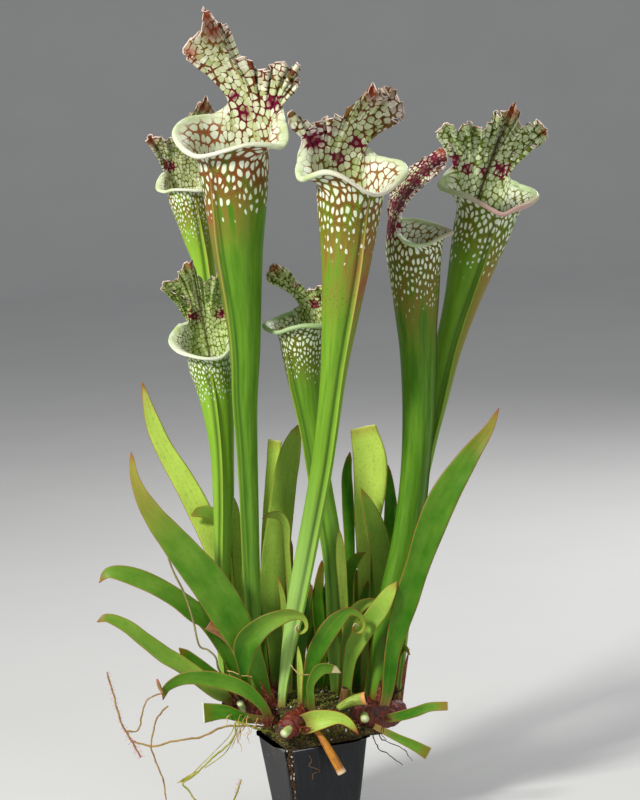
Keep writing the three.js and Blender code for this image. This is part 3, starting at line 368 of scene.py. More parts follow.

# `light` is how light a leaf is drawn, from foot to tip: partly its own green and partly painted light and
# shade, high where the leaf stands in the light or catches a highlight, low where other parts shade it. Then
# come how red its edges are, how far its tip is scorched or papery, in mm, and how white its end if that is
# cut. `twist` is the turn in degrees at the foot and at the tip, and the share of the length before it
# starts. `camber` is how deep the fold is, as a share of the half width.
LEAVES = {
    "leaf_upper_left": dict(light=1, red=0.6, scorch=40, camber=0.1, twist=[0, 20], spine=[
        [259, 710, 28, 3], [250, 660, 26, 6], [235, 600, 28, 10], [215, 545, 36, 12], [200, 512, 41, 12],
        [183, 480, 43, 11], [165, 450, 43, 9], [152, 420, 41, 7], [142, 382, 37, 1]]),
    "leaf_big_left": dict(light=[0.08, 0.12, 0.3], red=0.4, scorch=110, twist=[10, -15], spine=[
        [271, 709, -9, 4], [255, 665, -27, 10], [235, 625, -34, 17], [210, 585, -37, 18],
        [180, 548, -38, 15], [152, 513, -38, 10], [136, 482, -36, 5], [131, 452, -32, 1.5]]),
    "leaf_arch_left": dict(light=[0.05, 0.1, 0.25], red=0.5, twist=[0, 25], spine=[[246, 700, -5, 4],
        [228, 655, -8, 7], [208, 622, -10, 9], [195, 612, -12, 10], [175, 597, -14, 9], [150, 583, -16, 9],
        [125, 574, -17, 8], [108, 573, -17, 5], [99, 583, -17, 1]]),
    "leaf_curled_left": dict(light=[0.2, 0.55, 0.2, 0.3, 0.2], red=0.5, twist=[0, 30], spine=[
        [234, 708, -3, 3], [228, 699, -11, 5], [215, 690, -14, 8], [185, 667, -15, 8], [165, 655, -16, 8],
        [145, 640, -16, 7], [125, 625, -16, 6], [107, 618, -16, 4], [97, 622, -15, 2]]),
    "leaf_low_left": dict(light=[0.02, 0.14, 0.1], red=0.4, spine=[[272, 724, -24, 4], [262, 705, -31, 5],
        [245, 690, -34, 7], [225, 682, -33, 8], [203, 678, -31, 7.5], [183, 679, -28, 6],
        [167, 688, -26, 4], [163, 700, -24, 1.5]]),
    "leaf_cut_left": dict(light=0.04, red=0.1, cut=1, thick=2, twist=[0, 0], spine=[[266, 720, -17, 4],
        [245, 718, -22, 5], [225, 712, -23, 7], [203, 713, -24, 10]]),
    "leaf_dark_left": dict(light=0.04, red=0.3, spine=[[238, 702, 1, 3], [222, 682, -3, 5],
        [205, 668, -6, 5], [190, 658, -7, 6], [179, 648, -7, 3]]),
    "leaf_curly_front": dict(
        light=[0.2, 0.04, 0.02, 0.22, 0.5, 0.5], red=0.5, papery=9, camber=0.45, twist=[5, 78, 0.62], spine=[
        [256, 712, -8, 3], [250, 696, -20, 3.5], [245, 680, -31, 4], [244, 668, -37, 6],
        [246, 645, -45, 12], [262, 627, -47, 10], [285, 616, -47, 7], [298, 616, -46, 4.5],
        [305, 621, -45, 2.4], [306, 629, -45, 1.6], [300, 633, -45, 1.2], [296, 628, -45, 1],
        [300, 624, -45, 0.8]]),
    "leaf_curly_middle": dict(
        light=[0.04, 0.02, 0.16, 0.4], red=0.9, papery=7, camber=0.35, twist=[5, 78, 0.62], spine=[
        [305, 718, -31, 4], [309, 675, -37, 6], [318, 648, -39, 9], [333, 625, -40, 9], [348, 612, -39, 5],
        [359, 615, -38, 3], [364, 624, -37, 1.8], [361, 632, -37, 1.4], [354, 631, -37, 1.1],
        [355, 624, -37, 0.9], [359, 626, -37, 0.7]]),
    "leaf_short_arch": dict(light=0.12, red=0.2, papery=9, camber=0.3, twist=[0, 20], spine=[
        [314, 720, -37, 3], [311, 700, -43, 3.5], [311, 684, -46, 4], [320, 670, -48, 6],
        [332, 669, -48, 4.5], [341, 673, -46, 1.5]]),
    "leaf_over_rim": dict(light=0.7, red=1, camber=0.45, twist=[0, -20], spine=[[296, 728, -43, 7],
        [303, 725, -47, 10], [318, 720, -53, 10], [338, 718, -55, 6], [350, 724, -56, 4],
        [359, 735, -55, 1]]),
    "leaf_bright_right": dict(light=[0.15, 0.25, 0.3, 0.75], red=0.4, twist=[0, -20], spine=[
        [345, 710, -13, 4], [349, 665, -21, 6], [355, 645, -25, 9], [368, 625, -27, 9], [380, 608, -28, 9],
        [390, 592, -29, 6], [397, 581, -29, 1]]),
    "leaf_folded_right": dict(light=[0.05, 0.2, 0.5], red=0.5, camber=0.4, twist=[20, 30], spine=[
        [340, 711, -7, 3.5], [345, 660, -11, 5], [350, 630, -13, 7], [357, 610, -14, 7], [370, 602, -15, 4],
        [384, 602, -16, 1]]),
    "leaf_big_right": dict(light=[0.04, 0.08, 0.14], red=0.7, scorch=70, twist=[15, -15], spine=[
        [383, 712, -14.5, 4], [388, 690, -18, 6], [393, 650, -22, 8], [405, 605, -26, 12],
        [418, 565, -29, 12], [430, 530, -31, 14], [445, 495, -32, 14], [468, 458, -30, 10],
        [488, 430, -27, 5], [499, 408, -24, 1]]),
    "leaf_cut_right": dict(light=[0.02, 0.05, 0.35], red=0.5, cut=0.4, spine=[[378, 717, -13, 3.5],
        [389, 718, -20, 4.5], [400, 716, -25, 5], [415, 712, -28, 5], [430, 707, -29, 4.5],
        [448, 706, -30, 4]]),
    "leaf_cut_low_right": dict(light=0.16, red=0.3, cut=0.7, spine=[[374, 726, -22, 3],
        [388, 733, -30, 3.5], [400, 739, -34, 4], [415, 746, -37, 5], [429, 754, -38, 6]]),
    "leaf_curled_right": dict(light=0.05, red=0.2, spine=[[392, 700, 12, 3], [396, 662, 12, 4],
        [399, 652, 10, 4], [405, 648, 8, 3], [410, 655, 6, 1.5]]),
    "leaf_upright_middle": dict(light=[0.15, 0.35, 0.5, 0.55], red=0.2, twist=[15, -10], spine=[
        [277, 704, 25, 4], [275, 650, 30, 7], [272, 600, 34, 12], [275, 560, 36, 14], [280, 520, 38, 13],
        [285, 480, 38, 12], [291, 450, 38, 10], [298, 425, 36, 3]]),
    "leaf_cut_tall": dict(light=[0.2, 0.4, 0.7, 0.8], red=0.1, cut=0.3, spine=[[262, 704, 38, 3],
        [264, 620, 46, 4], [265, 560, 49, 4.5], [268, 510, 51, 5], [272, 470, 52, 6], [275, 440, 52, 7]]),
    "leaf_wide_back": dict(light=[0.4, 0.6, 0.9, 1], red=0.2, cut=0.2, twist=[10, 0], spine=[
        [362, 714, 30, 5], [363, 640, 34, 6], [364, 600, 36, 6], [364, 545, 38, 8], [367, 520, 39, 13],
        [370, 490, 40, 16], [370, 460, 40, 17], [363, 427, 38, 13]]),
    "leaf_dark_back": dict(light=[0.2, 0.32, 0.36], red=0.5, twist=[0, 15], spine=[[364, 716, 18, 4],
        [375, 650, 22, 5], [380, 600, 26, 7], [382, 565, 28, 10], [378, 535, 29, 10], [370, 510, 28, 7],
        [361, 488, 26, 1]]),
    "leaf_dark_far": dict(light=0.05, red=0.3, spine=[[349, 704, 38, 3], [350, 620, 44, 4],
        [350, 560, 47, 5], [348, 505, 50, 6], [347, 475, 50, 5], [350, 452, 48, 2]]),
    "leaf_arched_middle": dict(light=0.12, red=0.2, spine=[[343, 704, 24, 4], [344, 650, 27, 6],
        [345, 620, 28, 8], [347, 580, 27, 7], [355, 560, 25, 5], [366, 552, 22, 1.5]]),
    "leaf_small_light": dict(light=0.85, red=0.2, spine=[[350, 704, 2, 2.5], [345, 620, 0, 4],
        [341, 563, -2, 5], [340, 545, -3, 4], [339, 528, -3, 1]]),
    "leaf_narrow_left": dict(light=0.85, red=0.8, camber=0.3, spine=[[251, 704, 17, 3], [244, 620, 18, 5],
        [238, 570, 25, 5], [236, 540, 29, 5], [234, 510, 32, 5], [228, 488, 33, 1]]),
    "leaf_arching_light": dict(light=[0.15, 0.35, 0.6], red=0.3, spine=[[290, 704, 12, 2.5],
        [290, 600, 18, 3], [287, 548, 20, 3], [286, 527, 20, 4], [280, 516, 19, 4], [270, 515, 18, 3],
        [262, 519, 17, 1]]),
    "leaf_band_left": dict(light=0.3, red=0.2, twist=[0, 10], spine=[[240, 709, 15, 2.5], [232, 640, 23, 3],
        [228, 580, 27, 3], [224, 535, 33, 4], [212, 514, 34, 6], [200, 512, 33, 5.5], [191, 516, 31, 3]]),
    "leaf_tiny_middle": dict(light=0.4, red=0.5, spine=[[283, 704, 4, 2], [285, 640, 6, 3],
        [283, 600, 7, 3], [277, 575, 7, 1]]),
    "leaf_dark_right": dict(light=0.05, red=0.3, spine=[[357, 718, 39, 3.5], [366, 690, 41, 4.5],
        [380, 620, 44, 6], [388, 560, 47, 7], [391, 520, 49, 7], [390, 490, 50, 5], [388, 465, 50, 1.5]]),
    "shoot_pale": dict(light=0.8, camber=0.4, spine=[[301, 714, -25, 2.5], [300, 670, -29, 3],
        [298, 646, -30, 1]]),
}

# Stubs and stalks. `hollow` is how deep the hole in the end is.
STEMS = {
    "stub_brown_left": dict(look="dried", hollow=8, spine=[[247, 704, -8.5, 2.6], [242, 668, -17, 3],
        [235, 650, -19, 3.5], [225, 636, -20, 4.5], [208, 624, -20, 6]]),
    "stub_hollow_right": dict(look="green", hollow=14, spine=[[338, 708, -30, 3], [352, 701, -34, 5],
        [366, 698, -36, 6.5]]),
    "stub_orange_front": dict(look="orange", hollow=10, spine=[[306, 724, -40, 2.5], [318, 733, -46, 2.8],
        [329, 750, -52, 4], [342, 773, -53, 4.5]]),
    "stub_small_middle": dict(look="dried", hollow=6, spine=[[341, 708, -20, 3], [345, 688, -23, 3.5]]),
    "stub_white_left": dict(look="fresh", spine=[[246, 712, -5, 3.2], [240, 703, -20, 3.4]]),
    "stub_white_front": dict(look="fresh", spine=[[290, 728, -52, 4], [284, 734, -62, 4.2]]),
    "stub_white_right": dict(look="fresh", spine=[[364, 714, -18, 4], [365, 719, -28, 4.2]]),
    "stalk_dried": dict(look="straw", spine=[[240, 700, -8.5, 1.2], [220, 672, -21, 1.1],
        [216, 658, -25, 1], [208, 650, -25, 1], [199, 645, -25, 1], [193, 620, -25, 1], [185, 595, -25, 1],
        [175, 575, -25, 1], [168, 558, -25, 0.8]]),
}

WEEDS = {
    "sundew": [
        [[268, 727, -14, 1.4], [250, 726, -24, 1.3], [224, 727, -31, 1.3], [200, 737, -34, 1.3],
            [175, 741, -33, 1.3], [152, 746, -32, 1.3], [131, 740, -31, 1.2]],
        [[107, 672, -28, 1], [112, 690, -30, 1.2], [118, 712, -31, 1.2], [124, 728, -31, 1.2],
            [132, 742, -31, 1.2], [141, 757, -31, 1]],
        [[126, 731, -31, 1.1], [138, 730, -31, 1], [142, 715, -31, 1], [148, 699, -30, 1],
            [162, 693, -29, 1]],
        [[168, 706, -31, 1.2], [161, 713, -32, 1.1], [155, 724, -32, 1.1], [151, 746, -32, 1.1],
            [155, 760, -32, 1], [163, 780, -32, 1], [166, 800, -32, 0.8]],
    ],
    "weed_stem": [
        [[272, 732, -24, 1.4], [255, 728, -36, 1.3], [236, 722, -43, 1.3], [235, 735, -44, 1.2],
            [225, 748, -44, 1.2], [212, 758, -43, 1.2], [200, 770, -43, 1.2], [183, 783, -42, 1.1],
            [188, 790, -42, 1.1], [195, 800, -42, 0.9]],
    ],
}

WEED_SHOOTS = [
    [[194, 799, -42, 1], [203, 806, -42, 0.9], [216, 810, -42, 0.9], [229, 807, -42, 0.9],
        [236, 795, -42, 0.9], [241, 780, -42, 0.8]],
    [[240, 722, -36, 0.5], [233, 740, -40, 0.5], [224, 754, -42, 0.5], [205, 768, -43, 0.5]],
    [[236, 720, -33, 0.4], [230, 735, -38, 0.4], [214, 752, -42, 0.4], [190, 776, -43, 0.4]],
]
WEED_LEAF = dict(light=0.4, spine=[[199, 771, -43, 1], [188, 778, -43, 2.2], [177, 783, -43, 0.6]])
TWIG_BUD = [[163, 693, -29, 1.2], [160, 688, -29, 2], [158, 682, -29, 1.6], [157, 679, -29, 0.8]]

ROOTS_PALE = [
    [[243, 714, -20, 0.6], [239, 722, -34, 0.5], [241, 733, -39, 0.4], [237, 743, -41, 0.3]],
    [[248, 716, -22, 0.8], [244, 727, -37, 0.6], [236, 737, -40, 0.5], [231, 750, -42, 0.3]],
    [[250, 717, -24, 0.5], [247, 723, -38, 0.5], [247, 731, -41, 0.4], [244, 736, -42, 0.3]],
    [[238, 712, -14, 0.5], [230, 716, -26, 0.5], [226, 726, -33, 0.3]],
    [[246, 716, -22, 0.5], [241, 725, -36, 0.5], [239, 740, -40, 0.4], [241, 752, -42, 0.3]],
    [[258, 718, -28, 0.6], [254, 727, -41, 0.5], [247, 735, -44, 0.4], [249, 744, -45, 0.3]],
    [[312, 675, -44, 0.5], [302, 675, -48, 0.6], [295, 671, -49, 0.6], [292, 664, -49, 0.4]],
    [[252, 677, -32, 0.5], [241, 673, -33, 0.5], [228, 671, -31, 0.4]],
]

ROOTS_DARK = [
    [[372, 726, -14, 0.8], [374, 738, -20, 0.6], [379, 751, -22, 0.5], [391, 755, -22, 0.5],
        [402, 764, -22, 0.3]],
    [[376, 722, -12, 0.8], [381, 738, -18, 0.6], [396, 745, -20, 0.5], [405, 752, -20, 0.4],
        [412, 761, -20, 0.3]],
    [[393, 700, 6, 1.6], [396, 688, 2, 1.5], [392, 678, 0, 1.2], [398, 668, 0, 1], [395, 658, 2, 0.5]],
    [[395, 694, 4, 1.2], [401, 690, 0, 1], [404, 682, 0, 0.5]],
    [[378, 714, -14, 0.9], [384, 722, -24, 0.7], [381, 731, -28, 0.5], [386, 740, -29, 0.3]],
    [[222, 706, 6, 0.8], [214, 712, 0, 0.6], [212, 722, -4, 0.4]],
]

# A root that clings to the pot's right front face: rows of [from the corner, up].
POT_THREAD = [[20, 88], [22, 82], [19, 77], [27, 72], [29, 69], [22, 68], [21, 62]]

# Short blades that fill the middle of the crown, drawn dark both for their own dark green and as painted
# shade for the shade there.
INNER = [
    [[268, 706, 24, 3], [262, 650, 30, 5], [256, 600, 36, 5], [252, 560, 40, 2]],
    [[300, 706, 22, 3], [300, 660, 26, 5], [304, 620, 30, 6], [312, 585, 32, 2]],
    [[320, 706, 26, 3], [322, 650, 30, 6], [318, 600, 34, 6], [322, 560, 36, 2]],
    [[330, 706, 20, 3], [334, 670, 22, 5], [330, 630, 24, 5], [336, 596, 26, 1.5]],
    [[310, 706, 34, 3], [312, 640, 40, 6], [306, 590, 44, 6], [300, 550, 46, 2]],
    [[286, 706, 30, 3], [290, 660, 34, 6], [296, 615, 38, 6], [300, 580, 40, 2]],
    [[358, 706, 26, 3], [356, 660, 28, 5], [360, 620, 30, 6], [368, 580, 30, 2]],
    [[338, 706, 34, 3], [340, 650, 38, 6], [336, 600, 40, 6], [338, 560, 42, 2]],
    [[250, 706, 30, 3], [246, 660, 34, 4], [248, 620, 38, 4], [242, 590, 40, 1.5]],
    [[374, 708, 22, 3], [372, 670, 26, 5], [378, 630, 28, 5], [384, 600, 28, 1.5]],
    [[272, 716, 34, 4], [270, 670, 40, 7], [266, 620, 45, 7], [262, 575, 48, 2]],
    [[292, 716, 34, 4], [290, 650, 44, 8], [287, 590, 49, 7], [291, 540, 52, 2]],
    [[316, 716, 36, 4], [319, 670, 46, 8], [326, 615, 52, 8], [331, 565, 54, 2]],
    [[330, 716, 36, 4], [324, 680, 40, 6], [316, 640, 44, 5], [312, 606, 46, 2]],
    [[352, 716, 34, 4], [356, 660, 44, 7], [358, 605, 48, 7], [354, 565, 50, 2]],
    [[364, 716, 32, 4], [370, 655, 42, 6], [374, 600, 46, 6], [370, 555, 48, 2]],
]


# Blades
BLADE = 0.9
BLADE_COLS = 13
BLADE_STEP = 2.2
BLADE_TWIST = [10, -20]
BLADE_CAMBER = 0.16
BLADE_WAVE = 0.05
BLADE_LOOKS = ("light", "red", "scorch", "cut", "papery")
CREASE_DEEP = 0.3
CREASE_WIDE = 0.1
TAPER = 7
TIP_WIDTH = 0.2
WHOLE_TURN = 6.28


def paced(spine, step, samples, least, most):
    """Rows of a spine about `step` mm apart, and their places in space."""
    long = lengths(place(steps(spine, samples)[:, :3]))[-1]
    rows = steps(spine, int(np.clip(long / step, least, most)))
    return rows, place(rows[:, :3])


def along_blade(value, count):
    """One value for every row of a blade, from a number or from a list that runs foot to tip."""
    listed = value if isinstance(value, list) else [value]
    return np.interp(np.linspace(0, 1, count), np.linspace(0, 1, len(listed)), np.array(listed, float))


def blade_frame(twist, along):
    """The way across the blade, the way out of its face, and the cosine of its turn, row by row."""
    first, last, since = [*twist, 0][:3]
    t = np.linspace(0, 1, len(along))[:, None]
    turn = np.radians(mix(first, last, np.clip((t - since) / (1 - since), 0, 1)))
    level = unit(np.cross(along, AHEAD))
    flat = level * np.cos(turn) + np.cross(along, level) * np.sin(turn)
    return flat, unit(np.cross(flat, along)), np.cos(turn)


def leaf_into(skin, spec, seed, cols=BLADE_COLS, step=BLADE_STEP):
    """A sword leaf along its spine, foot first: folded, with soft waves and thin edges."""
    rows, places = paced(spec["spine"], step, samples=40, least=8, most=120)
    count = len(rows)
    far = lengths(places)
    along = directions(places, 2 if count > 20 else 1)
    flat, face, level = blade_frame(spec.get("twist", BLADE_TWIST), along)
    half = np.maximum(0.5, rows[:, 3:4]) / np.maximum(0.2, level)
    if not spec.get("cut", 0):
        half = half * mix(TIP_WIDTH, 1, np.clip((far[-1] - far[:, None]) / TAPER, 0, 1) ** 0.7)
    fold = spec.get("camber", BLADE_CAMBER) * half
    thick = spec.get("thick", BLADE) / 2
    rng = np.random.default_rng(seed)
    phase, beat = rng.uniform(0, WHOLE_TURN, 3), rng.uniform(26, 44)
    looks = {name: along_blade(spec.get(name, 0), count) for name in BLADE_LOOKS}
    upper, under = [], []
    for x in np.linspace(-1, 1, cols):
        side = 0 if x < 0 else 1
        ripple = np.sin(far[:, None] / beat * WHOLE_TURN + phase[side] + 2 * side)
        wave = BLADE_WAVE * half * abs(x) ** 2 * ripple
        lift = fold * (1 - abs(x) ** 1.5) + wave - CREASE_DEEP * math.exp(-((x / CREASE_WIDE) ** 2))
        thin = thick * (1 - 0.6 * abs(x) ** 3)
        base = places + flat * x * half
        values = dict(
            grain=np.column_stack([(x * half)[:, 0], far, np.full(count, seed * 31.0)]),
            rim=(half * (1 - abs(x)))[:, 0],
            tip=far[-1] - far,
            far=far,
            **looks,
        )
        upper.append(skin.add(base + face * (lift + thin), **values))
        under.append(skin.add(base + face * (lift - thin), **values))
    close_blade(skin, upper, under)


def close_blade(skin, upper, under):
    """Both faces of a blade from its columns, its two edges and its two ends."""
    skin.grid(upper, closed=False)
    skin.grid(under[::-1], closed=False)
    skin.band(under[0], upper[0], closed=False)
    skin.band(upper[-1], under[-1], closed=False)
    for end in (0, -1):
        skin.band(np.array([c[end] for c in upper]), np.array([c[end] for c in under]), closed=False)


# Round stems
BUMP_SIZE = 4.0
LUMP_SIZE = 10.0
RING_GAP = 4.2
WANDER_SIZE = 9.0
STUB_WALL = 1
STUB_BORE = 0.8


def ring_at(places, along, radius, sides):
    """Round sections at places: an array of rows by sides by 3."""
    side = unit(np.cross(along, AHEAD))
    front = unit(np.cross(side, along))
    a = np.arange(sides) / sides * 2 * math.pi
    radius = np.broadcast_to(radius, (len(places), sides))[:, :, None]
    return places[:, None] + radius * (
        side[:, None] * np.sin(a)[None, :, None] + front[:, None] * np.cos(a)[None, :, None]
    )


def stem_radius(rows, places, along, sides, bumps, seed, rings, thin):
    """A stem's radius, rows by sides, with its bumps and with rings round it."""
    radius = thin * rows[:, 3:4] * np.ones((1, sides))
    cloud = ring_at(places, along, radius, sides).reshape(-1, 3)
    radius = radius + bumps * waves(cloud, BUMP_SIZE, seed).reshape(radius.shape)
    if bumps > 1:
        radius = radius + bumps * waves(cloud, LUMP_SIZE, seed + 4, 1).reshape(radius.shape)
    if rings:
        radius = radius + rings * np.abs(np.sin(lengths(places) * math.pi / RING_GAP))[:, None] ** 0.6
    return radius


def stem_into(skin, spine, sides, step, bumps, seed, hollow=0, rings=0, wander=0, thin=1):
    """A round stem along a spine of [across, down, depth, radius], open at its last end if hollow."""
    rows, places = paced(spine, step, samples=30, least=6, most=1000)
    along = directions(places)
    far = lengths(places)
    if wander:
        drift = np.column_stack([waves(places, WANDER_SIZE, seed + k, 2) for k in (3, 5, 8)])
        places = places + drift * wander * smooth(far / 8)[:, None]
    radius = stem_radius(rows, places, along, sides, bumps, seed, rings, thin)
    tubes = ring_at(places, along, radius, sides)
    a = np.arange(sides) / sides * 2 * math.pi

    def values(i):
        own = np.column_stack([radius[i] * np.cos(a), radius[i] * np.sin(a), np.full(sides, far[i])])
        return dict(far=far[i], tip=far[-1] - far[i], grain=own)

    ids = [skin.add(tube, **values(i)) for i, tube in enumerate(tubes)]
    skin.grid(ids)
    skin.fan(ids[0], places[:1])
    if not hollow:
        skin.fan(ids[-1], places[-1:], cut=1.0, far=far[-1])
        return
    last, bore = ids[-1], max(rows[-1, 3] - STUB_WALL, STUB_BORE)
    for back, r in ((0, bore), (hollow, max(STUB_BORE, bore - 1.2))):
        there = places[-1:] - along[-1:] * back
        inner = skin.add(ring_at(there, along[-1:], r, sides)[0], inside=1.0, **values(-1))
        skin.band(last, inner)
        last = inner
    skin.fan(last, places[-1:] - along[-1:] * hollow, inside=1.0, far=far[-1])


# Pitchers. A turn runs from 0 at the back over the left to 1. The lid is the first and the last NECK of it.
NECK = 50 / 360
WALL = 1
TUBE_ROWS = 110
TUBE_COLS = 72
LID_COLS = 96
LIP_COLS = 60
CROWN_ROWS = 36
BORE_FOOT = int(TUBE_ROWS * 0.2)
BORE_STEP = 3
SEAM = 0.0006
LIP_ROLL = 2.4
LIP_TURN = math.radians(215)
LIP_STARTS = 0.6
LIP_RAMP = 0.09
BULGE = 0.62
PUCKER_SIZE = 9.0
PUCKER_HIGH = 0.8
FRILL_LONG = 14
FRILL_SHORT = 6.5
FRILL_SHARE = 0.115
NET_CELL = 1.1
NET_GROWTH = 0.0047
NET_SLOPE = 0.62
NET_SHIFT = 13.7
STREAK_ROUND = 150
STREAK_SHIFT = 9.0
WING_SHADOW_OFF = 3.6
WING_SHADOW_WIDE = 1.8
RIB_PALE = 0.006
RIB_DARK = 0.011
FAR_FROM_RIM = 99.0
# The wing's outline: across in mm, and out as a share of its height.
FIN = [(-1.5, 0), (-0.8, 0.45), (-0.4, 0.9), (0, 1), (0.4, 0.9), (0.8, 0.45), (1.5, 0)]
# Where the cream of the rolled lip begins and is full, as shares of the wall's height.
CREAM_OUTSIDE = (0.57, 0.63)
CREAM_INSIDE = (0.47, 0.60)
PITCHER_LOOKS = ("light", "blue", "warm", "shade", "cool", "pink", "rosy", "chalk")
NO_CHART = dict(net=np.zeros((1, 3)), streak=np.zeros((1, 3)))


def frame_at(direction, facing):
    """The front and the side of sections across a direction, for a front that faces `facing` degrees."""
    a = math.radians(facing)
    toward = RIGHT * math.sin(a) - AHEAD * math.cos(a)
    front = unit(toward - direction * dot(direction, toward))
    return front, unit(np.cross(direction, front))


def outward(front, side, u):
    """The way out of the tube at turns u."""
    a = 2 * math.pi * (u + 0.5)
    return front * np.cos(a)[..., None] + side * np.sin(a)[..., None]


def signed(turn):
    """A turn from 0 to 1 as one from -0.5 to 0.5, with 0 at the back."""
    return np.where(turn < 0.5, turn, turn - 1)


def pitcher_body(p, seed):
    """What every part of one pitcher needs: its spine in space, its mouth and its looks."""
    rows = steps(p["spine"], TUBE_ROWS + 1)
    places = place(rows[:, :3])
    along = directions(places, TUBE_ROWS // 10)
    front, side = frame_at(along, p["facing"])
    radius = rows[-1, 3]
    return SimpleNamespace(
        p=p,
        seed=seed,
        rows=rows,
        places=places,
        along=along,
        far=lengths(places),
        fronts=front,
        sides=side,
        mouth=places[-1],
        axis=along[-1],
        front=front[-1],
        side=side[-1],
        radius=radius,
        cell=NET_CELL + NET_GROWTH * radius**2,
        looks={name: p.get(name, 0) for name in PITCHER_LOOKS},
    )


def tube_columns(radius, fin):
    """Across, out, turn and wing of each column of the tube at one radius, from the back over the left."""
    base = math.asin(min(0.9, 1.6 / radius)) if fin is not None else 2 * math.pi * SEAM
    half = TUBE_COLS // 2
    left = [mix(math.pi, base, j / half) for j in range(half + (fin is None))]
    columns = [(-radius * math.sin(a), radius * math.cos(a), 0.5 - a / (2 * math.pi), 0) for a in left]
    if fin is not None:
        for across, out in FIN:
            columns.append((across, radius * 0.995 + fin * out, 0.5 + across / 400, out))
    right = [mix(base, math.pi, j / half) for j in range(fin is not None, half)]
    columns += [(radius * math.sin(a), radius * math.cos(a), 0.5 + a / (2 * math.pi), 0) for a in right]
    return np.array(columns)


def edge_points(p, u):
    """The free edge at turns u, and its smoothed place."""
    mouth = p["spine"][-1]
    lid, tip = p["lid"], p["tip"]
    lip = [lid[0], *p["lip"], lid[-1]]

    def read(points, t):
        q = curve(points, t)
        return place(np.column_stack([q[:, 0], q[:, 1], mouth[2] + q[:, 2]]))

    t = np.clip((u - NECK) / (1 - 2 * NECK), 0, 1) * (len(lip) - 1)
    lip_edge = read(lip, t)
    end = len(lid) - 1
    v = np.where(u < 0.5, tip * (1 - u / NECK), tip + (end - tip) * (1 - u) / NECK)
    v = np.clip(v, 0, end)
    lid_edge = read(lid, v)
    near = [read(lid, np.clip(v + s * 1.5, 0, end)) for s in (-1, -0.5, 0, 0.5, 1)]
    hold = smooth(np.minimum(v, end - v) / 2)[:, None]
    plain = mix(lid_edge, sum(near) / len(near), hold)
    on_lip = ((u >= NECK) & (u <= 1 - NECK))[:, None]
    return np.where(on_lip, lip_edge, lid_edge), np.where(on_lip, lip_edge, plain)


def crown_grid(b, u, t):
    """The wall's middle surface above the mouth, rows by columns, with each column's roll, and its edge."""
    out = outward(b.front, b.side, u)
    start = b.mouth + out * (b.radius - WALL / 2)
    edge, plain = edge_points(b.p, u)
    handle = start + b.axis * np.maximum(4, dot(plain - start, b.axis) * BULGE)
    on_lip = (u > NECK) & (u < 1 - NECK)
    roll = (smooth(np.minimum(u - NECK, 1 - NECK - u) / LIP_RAMP) * on_lip)[:, None]
    span = np.linalg.norm(edge - start, axis=1, keepdims=True)
    away = unit(edge - handle)
    tuck = away * LIP_ROLL * roll * 0.9
    edge, plain = edge - tuck, plain - tuck
    over = unit(np.cross(unit(np.cross(b.axis, out)), away))
    over = np.where(dot(over, b.axis) < 0, -over, over)
    r = LIP_ROLL * roll * np.minimum(1, span / 30)
    rows = []
    for v in t:
        s = mix(v, min(1, v / LIP_STARTS), roll)
        turn = LIP_TURN * min(1, max(0, (v - LIP_STARTS) / (1 - LIP_STARTS))) * roll
        base = start * (1 - s) ** 2 + handle * 2 * s * (1 - s) + plain * s**2 + (edge - plain) * s**3
        rows.append(base + away * r * np.sin(turn) - over * r * (1 - np.cos(turn)))
    return np.array(rows), roll[:, 0], edge


def grid_normals(grid, first):
    """The way out of a grid that closes round, with that of its first row given."""
    up = np.gradient(grid, axis=0)
    across = np.roll(grid, -1, axis=1) - np.roll(grid, 1, axis=1)
    normals = unit(np.cross(across, up))
    normals[0] = first
    return normals


def frills(b, edge, u, t):
    """How far the lid's edge ripples out of its surface, rows by columns."""
    run = lengths(edge)
    lid = smooth((NECK - np.abs(signed(u))) / 0.022)
    long = np.sin(run / FRILL_LONG * 2 * math.pi + b.seed)
    short = np.sin(run / FRILL_SHORT * 2 * math.pi + 2.3 * b.seed + 1.5 * np.sin(run / 23))
    grow = smooth((t - 0.42) / 0.58) ** 1.6
    return b.p.get("frill", 1) * FRILL_SHARE * b.radius * grow[:, None] * (lid * (long + 0.5 * short))[None]


def net_chart(b, grid, u):
    """Where the net's pattern lies on the crown: round the tube at the mouth, flat across the lid."""
    back = b.mouth - b.front * b.radius
    lean = grid[-1][np.abs(signed(u)) < 0.4 * NECK].mean(0) - back
    lean = unit(lean - b.side * (lean @ b.side))
    rise = np.vstack([np.zeros(len(u)), np.cumsum(np.linalg.norm(np.diff(grid, axis=0), axis=2), axis=0)])
    height = (grid - b.mouth) @ b.axis
    around = np.broadcast_to(signed(u) * 2 * math.pi * b.radius, rise.shape)
    lid = smooth((NECK + 0.05 - np.abs(signed(u))) / 0.07)[None] * smooth((height - 2) / 22)
    x = mix(around, -((grid - b.mouth) @ b.side), lid)
    y = mix(rise, np.maximum((grid - back) @ lean, 0.3 * rise), lid)
    return np.dstack([x, y - 14 * (1 - np.exp(-y / 26)), np.zeros_like(x)])


def near_marks(marks, board):
    """How strongly each point on the board is within reach of marks [across, down, reach]."""
    share = np.zeros(len(board))
    for across, down, reach in marks:
        d = np.hypot(board[:, 0] - across, board[:, 1] - down)
        share = np.maximum(share, np.exp(-((d / reach / 1.15) ** 2)))
    return share


def zone_values(p, points, drop, turn):
    """Colour zones of the wall: wine patches near the neck, tan below the net, dry brown tips."""
    board = on_board(points)
    reach, strength, limit = p["tan"]
    beyond = turn < 0.5 if p["facing"] < 0 else turn > 0.5
    off = np.abs(turn - 0.5)
    flank = np.where(beyond, smooth(off / 0.02) * smooth((0.42 - off) / 0.1), 0)
    return dict(
        wine=near_marks(p["wine"], board),
        dry=near_marks(p["dry"], board),
        spots=1 - np.clip(drop / p["spots"], 0, 1.2),
        tan=strength * (1 - smooth((drop - 0.25 * reach) / reach)) * (1 - smooth((turn - limit) / 0.12)),
        flank=flank * p.get("flank", 0) * (1 - smooth((drop - 60) / 190)),
    )


